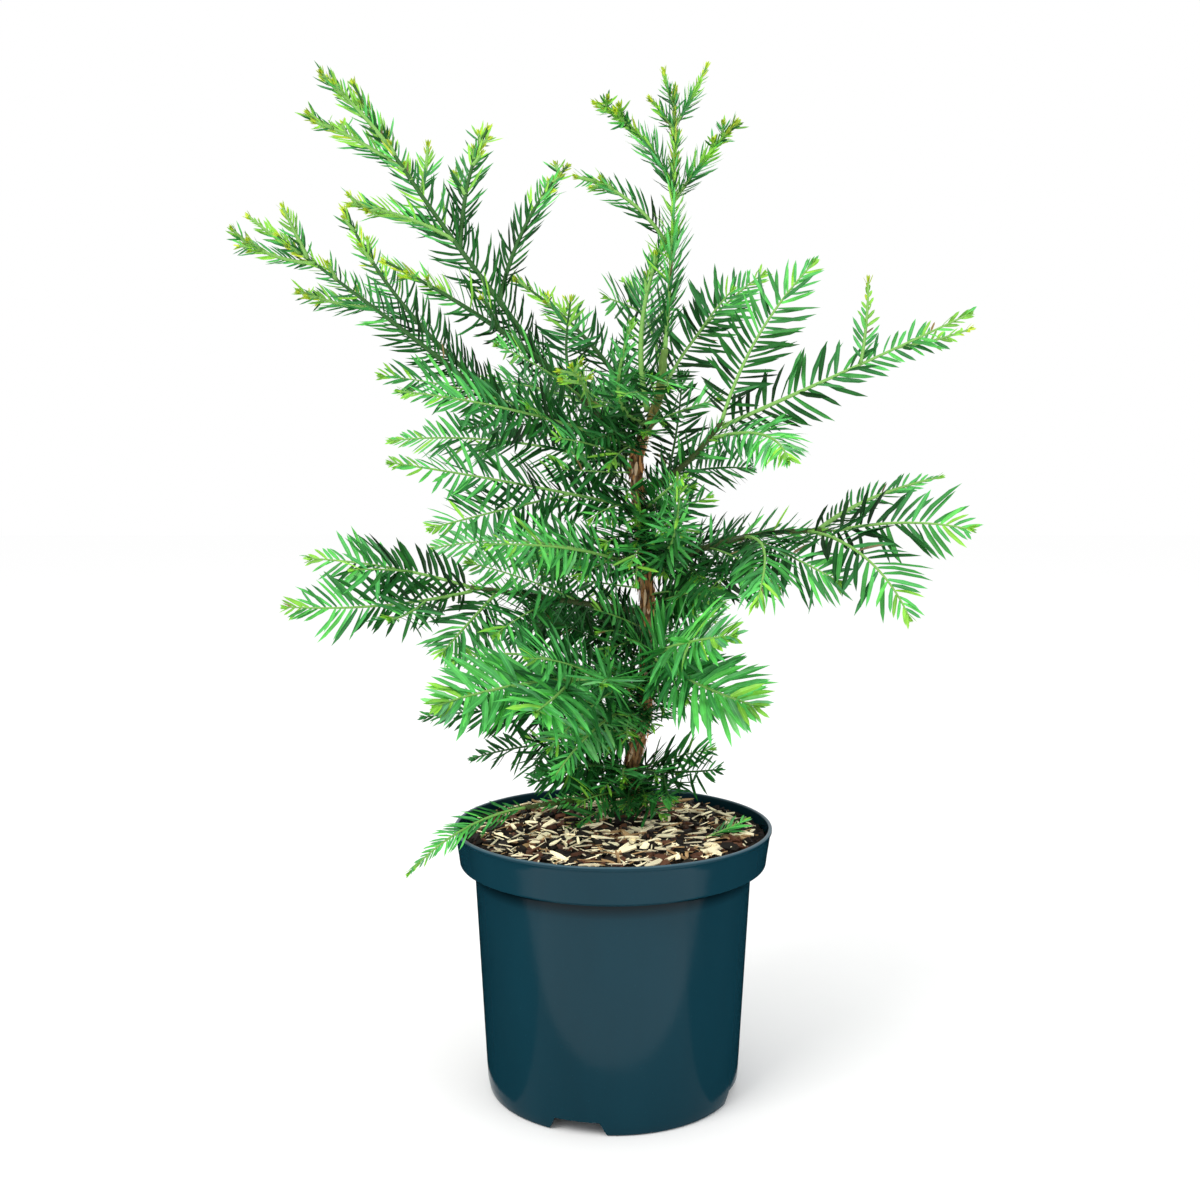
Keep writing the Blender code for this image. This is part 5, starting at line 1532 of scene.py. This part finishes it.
def needle_points(root, way, normal, length, width, forward, droop, ahead):
    """A flat pointed needle with a grooved midrib, curving forward and down along its length."""
    across = unit(np.cross(normal, way))

    def middle(t):
        return root + way * length * t + ahead * forward * length * t * t + normal * droop * length * t * t

    points = [root]
    for share, wide in NEEDLE_STATIONS:
        centre = middle(share)
        half = across * width * wide / 2
        groove = normal * width * wide * NEEDLE_FOLD
        points += [centre - half, centre - groove, centre + half]
    points.append(middle(1.0))
    return points


def needle_stand(shoot, number, row, rng):
    """The way a needle stands off its shoot, and the way its face looks."""
    ahead, side, normal = row
    if shoot.ranks == 3:
        turn = math.radians(number * GOLDEN_ANGLE + rng.uniform(-ROUND_STRAY, ROUND_STRAY))
        outward = side * math.cos(turn) + normal * math.sin(turn)
        return outward, unit(ahead + outward * ROUND_LIFT)
    rank = 1 if number % 2 else -1
    lift = math.radians(rng.gauss(*RANK_LIFT) if rng.random() > STRAY_SHARE else rng.uniform(*STRAY_LIFT))
    return side * rank * math.cos(lift) + normal * math.sin(lift), normal


def lay_needles(shoot, settings, rng, batches):
    """Two ranks of needles along a shoot, or needles all round it, and a tuft of short ones at its tip."""
    path, style = shoot.path, shoot.style
    total = np.cumsum(np.linalg.norm(np.diff(path, axis=0), axis=1))[-1]
    rows = frames(path, shoot.face)
    pitch = settings.pitch / MM * style.pitch
    longest = settings.length / MM * shoot.needle * style.reach
    gap = pitch / shoot.ranks * (SHORT_PITCH if shoot.needle < SHORT_LEAF else 1.0)
    narrowing = SHORT_SPREAD if shoot.needle < SHORT_NEEDLE else 1.0
    for k in range(int(total * (1 - shoot.bare) / gap)):
        at = total * shoot.bare + (k + rng.uniform(-PITCH_STRAY, PITCH_STRAY)) * gap
        share = min(1.0, max(0.0, at / total))
        spot = min(len(path) - 2, int(share * (len(path) - 1)))
        part = share * (len(path) - 1) - spot
        root = path[spot] * (1 - part) + path[spot + 1] * part
        ahead = rows[spot][0]
        outward, blade = needle_stand(shoot, k, rows[spot], rng)
        spread = math.radians(np.interp(share, *SPREAD_COURSE) * narrowing + rng.gauss(0, SPREAD_SCATTER))
        way = unit(ahead * math.cos(spread) + outward * math.sin(spread))
        roll = math.radians(rng.gauss(0, ROLL_SCATTER))
        blade = unit(blade - way * blade.dot(way))
        blade = unit(blade * math.cos(roll) + np.cross(blade, way) * math.sin(roll))
        reach = longest * needle_reach(share, style.fade) * rng.uniform(*REACH_SCATTER)
        fullness = WIDTH_LEAST + WIDTH_GAIN * min(WIDTH_LIMIT, reach / FULL_REACH)
        width = settings.width / MM * style.width * fullness
        curl = style.curl + rng.uniform(*CURL_SCATTER)
        droop = style.droop + rng.uniform(*DROOP_SCATTER)
        tone = needle_tone(shoot, share, rng)
        if tone == "dry":
            width *= DRY_SIZE
            reach *= DRY_SIZE
        points = needle_points(root, way, blade, reach, width, curl, droop, ahead)
        batches[tone].add(points, NEEDLE_FACES, NEEDLE_UVS)
    if shoot.tip:
        lay_tuft(shoot, rng, batches)


def lay_tuft(shoot, rng, batches):
    """Short needles that lie close round a shoot's tip."""
    ahead, side, normal = frames(shoot.path, shoot.face)[-1]
    tip = shoot.path[-1]
    tone = TONES[shoot.tone][-1][0]
    for k in range(TUFT_NEEDLES):
        left = 1 - k / TUFT_NEEDLES
        turn = math.radians(k * GOLDEN_ANGLE)
        outward = side * math.cos(turn) + normal * math.sin(turn)
        spread = math.radians(TUFT_SPREAD[0] + TUFT_SPREAD[1] * left + rng.uniform(-TUFT_STRAY, TUFT_STRAY))
        way = unit(ahead * math.cos(spread) + outward * math.sin(spread))
        blade = unit(outward - way * outward.dot(way))
        reach = (TUFT_REACH[0] + TUFT_REACH[1] * left) * rng.uniform(*TUFT_SCATTER)
        root = tip - ahead * (TUFT_DEPTH * left)
        points = needle_points(root, way, blade, reach, TUFT_WIDTH, TUFT_CURL, TUFT_DROOP, ahead)
        batches[tone].add(points, NEEDLE_FACES, NEEDLE_UVS)


class REDWOOD_OT_needles(Operator):
    """Lay the needles along every shoot, one joined piece for each tone"""

    bl_idname = "redwood.needles"
    bl_label = "Needles"

    def execute(self, context):
        settings = context.scene.redwood_needles
        rng = random.Random(SEED + 11)
        batches = {tone: Batch() for tone in TONE_SLOTS}
        for shoot in crown():
            lay_needles(shoot, settings, rng, batches)
        for tone, batch in batches.items():
            material = needle_material(tone, tuple(getattr(settings, tone)))
            piece = batch.piece(f"needles_{tone}", material, smooth=False)
            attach(piece, BODY)
            own = [mass.limb.name for mass in MASSES if TONE_SLOTS[tone] == mass.tone]
            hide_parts(*own)
        return {"FINISHED"}


# ---------------------------------------------------------------- stage


def area_light(name, place_at, aim, size, power, colour):
    data = bpy.data.lights.new(name, "AREA")
    data.shape = "RECTANGLE"
    data.size, data.size_y = size
    data.energy = power
    data.color = colour
    lamp = bpy.data.objects.new(name, data)
    lamp.location = place_at
    lamp.rotation_euler = (Vector(aim) - Vector(place_at)).to_track_quat("-Z", "Y").to_euler()
    bpy.context.scene.collection.objects.link(lamp)
    return lamp


def card_sector():
    """A flat sector of a ring on the floor, open towards the front."""
    points, faces = [], []
    for k in range(CARD_STEPS + 1):
        a = math.radians(CARD_ARC[0] + (CARD_ARC[1] - CARD_ARC[0]) * k / CARD_STEPS)
        for radius in CARD_RADII:
            points.append((radius * math.cos(a), radius * math.sin(a), 0.0))
        if k:
            faces.append((2 * k - 2, 2 * k - 1, 2 * k + 1, 2 * k))
    return points, faces


def hide_from(obj, *rays):
    """Hide an object from the kinds of ray named."""
    for kind in rays:
        setattr(obj, f"visible_{kind}", False)


def add_floor(colour):
    material, tree, shader = new_material("pale_floor", 0.9, 0.0)
    speckle = grain(tree, place(tree), 30.0, 3.0)
    to_colour(tree, shader, ramp(tree, speckle, (0.3, shade(colour, 0.995)), (0.7, colour)))
    sides = ((-1, -1), (1, -1), (1, 1), (-1, 1))
    corners = [(x * FLOOR_HALF, y * FLOOR_HALF, FLOOR_HEIGHT) for x, y in sides]
    floor = mesh_object("floor", corners, [(0, 1, 2, 3)], material, smooth=False)


def add_surround(strength):
    world = bpy.data.worlds.new("pale_surround")
    world.use_nodes = True
    background = world.node_tree.nodes["Background"]
    background.inputs["Color"].default_value = (1.0, 1.0, 1.0, 1.0)
    background.inputs["Strength"].default_value = strength
    bpy.context.scene.world = world


def add_lights(settings):
    area_light("key_light", KEY_PLACE, LIGHT_AIM, KEY_SIZE, settings.key_power, KEY_COLOUR)
    area_light("fill_light", FILL_PLACE, LIGHT_AIM, FILL_SIZE, settings.fill_power, FILL_COLOUR)
    # A low reflector in front, seen only as the soft sheen on the pot's wall.
    sheen = area_light("low_reflector", SHEEN_PLACE, SHEEN_AIM, SHEEN_SIZE, SHEEN_POWER, SHEEN_COLOUR)
    hide_from(sheen, "camera", "diffuse")


def add_card():
    """A dark card flat on the floor beside and behind the pot, which only the pot's gloss sees."""
    material, _, shader = new_material("dark_card", 0.9, 0.0)
    shader.inputs["Base Color"].default_value = (0.0, 0.0, 0.0, 1.0)
    points, faces = card_sector()
    card = mesh_object("dark_card", points, faces, material, smooth=False)
    hide_from(card, "camera", "diffuse", "transmission", "shadow")


def add_camera():
    data = bpy.data.cameras.new("camera")
    data.lens = CAMERA_LENS
    data.sensor_width = SENSOR_WIDTH
    camera = bpy.data.objects.new("camera", data)
    camera.location = CAMERA_PLACE
    camera.rotation_euler = (math.radians(CAMERA_PITCH), 0.0, 0.0)
    bpy.context.scene.collection.objects.link(camera)
    bpy.context.scene.camera = camera


class REDWOOD_OT_stage(Operator):
    """Set the floor, the surround, the soft lights and the camera"""

    bl_idname = "redwood.stage"
    bl_label = "Stage"

    def execute(self, context):
        settings = context.scene.redwood_stage
        add_floor(tuple(settings.floor_colour))
        add_surround(settings.sky_strength)
        add_lights(settings)
        add_card()
        context.scene.view_settings.view_transform = "Standard"
        add_camera()
        return {"FINISHED"}


# ---------------------------------------------------------------- panel and registration


STEPS = (
    REDWOOD_OT_pot,
    REDWOOD_OT_potting_mix,
    REDWOOD_OT_chips,
    REDWOOD_OT_trunk,
    REDWOOD_OT_bark_flakes,
    REDWOOD_OT_boughs,
    REDWOOD_OT_twigs,
    REDWOOD_OT_needles,
    REDWOOD_OT_stage,
)
SETTINGS = {
    "redwood_pot": PotSettings,
    "redwood_mix": MixSettings,
    "redwood_bark": BarkSettings,
    "redwood_needles": NeedleSettings,
    "redwood_stage": StageSettings,
}


class REDWOOD_PT_panel(Panel):
    """The settings and the steps that dress the plant"""

    bl_idname = "REDWOOD_PT_panel"
    bl_label = "Redwood"
    bl_space_type = "VIEW_3D"
    bl_region_type = "UI"
    bl_category = "Redwood"

    def draw(self, context):
        for name in SETTINGS:
            box = self.layout.box()
            group = getattr(context.scene, name)
            for key in group.bl_rna.properties.keys():
                if key not in {"rna_type", "name"}:
                    box.prop(group, key)
        for step in STEPS:
            self.layout.operator(step.bl_idname)


def register():
    for group in SETTINGS.values():
        bpy.utils.register_class(group)
    for step in STEPS:
        bpy.utils.register_class(step)
    bpy.utils.register_class(REDWOOD_PT_panel)
    for name, group in SETTINGS.items():
        setattr(bpy.types.Scene, name, PointerProperty(type=group))


def unregister():
    for name in SETTINGS:
        delattr(bpy.types.Scene, name)
    bpy.utils.unregister_class(REDWOOD_PT_panel)
    for step in reversed(STEPS):
        bpy.utils.unregister_class(step)
    for group in reversed(list(SETTINGS.values())):
        bpy.utils.unregister_class(group)


def main():
    register()
    bpy.ops.redwood.pot()
    bpy.ops.redwood.potting_mix()
    bpy.ops.redwood.chips()
    bpy.ops.redwood.trunk()
    bpy.ops.redwood.bark_flakes()
    bpy.ops.redwood.boughs()
    bpy.ops.redwood.twigs()
    bpy.ops.redwood.needles()
    bpy.ops.redwood.stage()


if __name__ == "__main__":
    main()
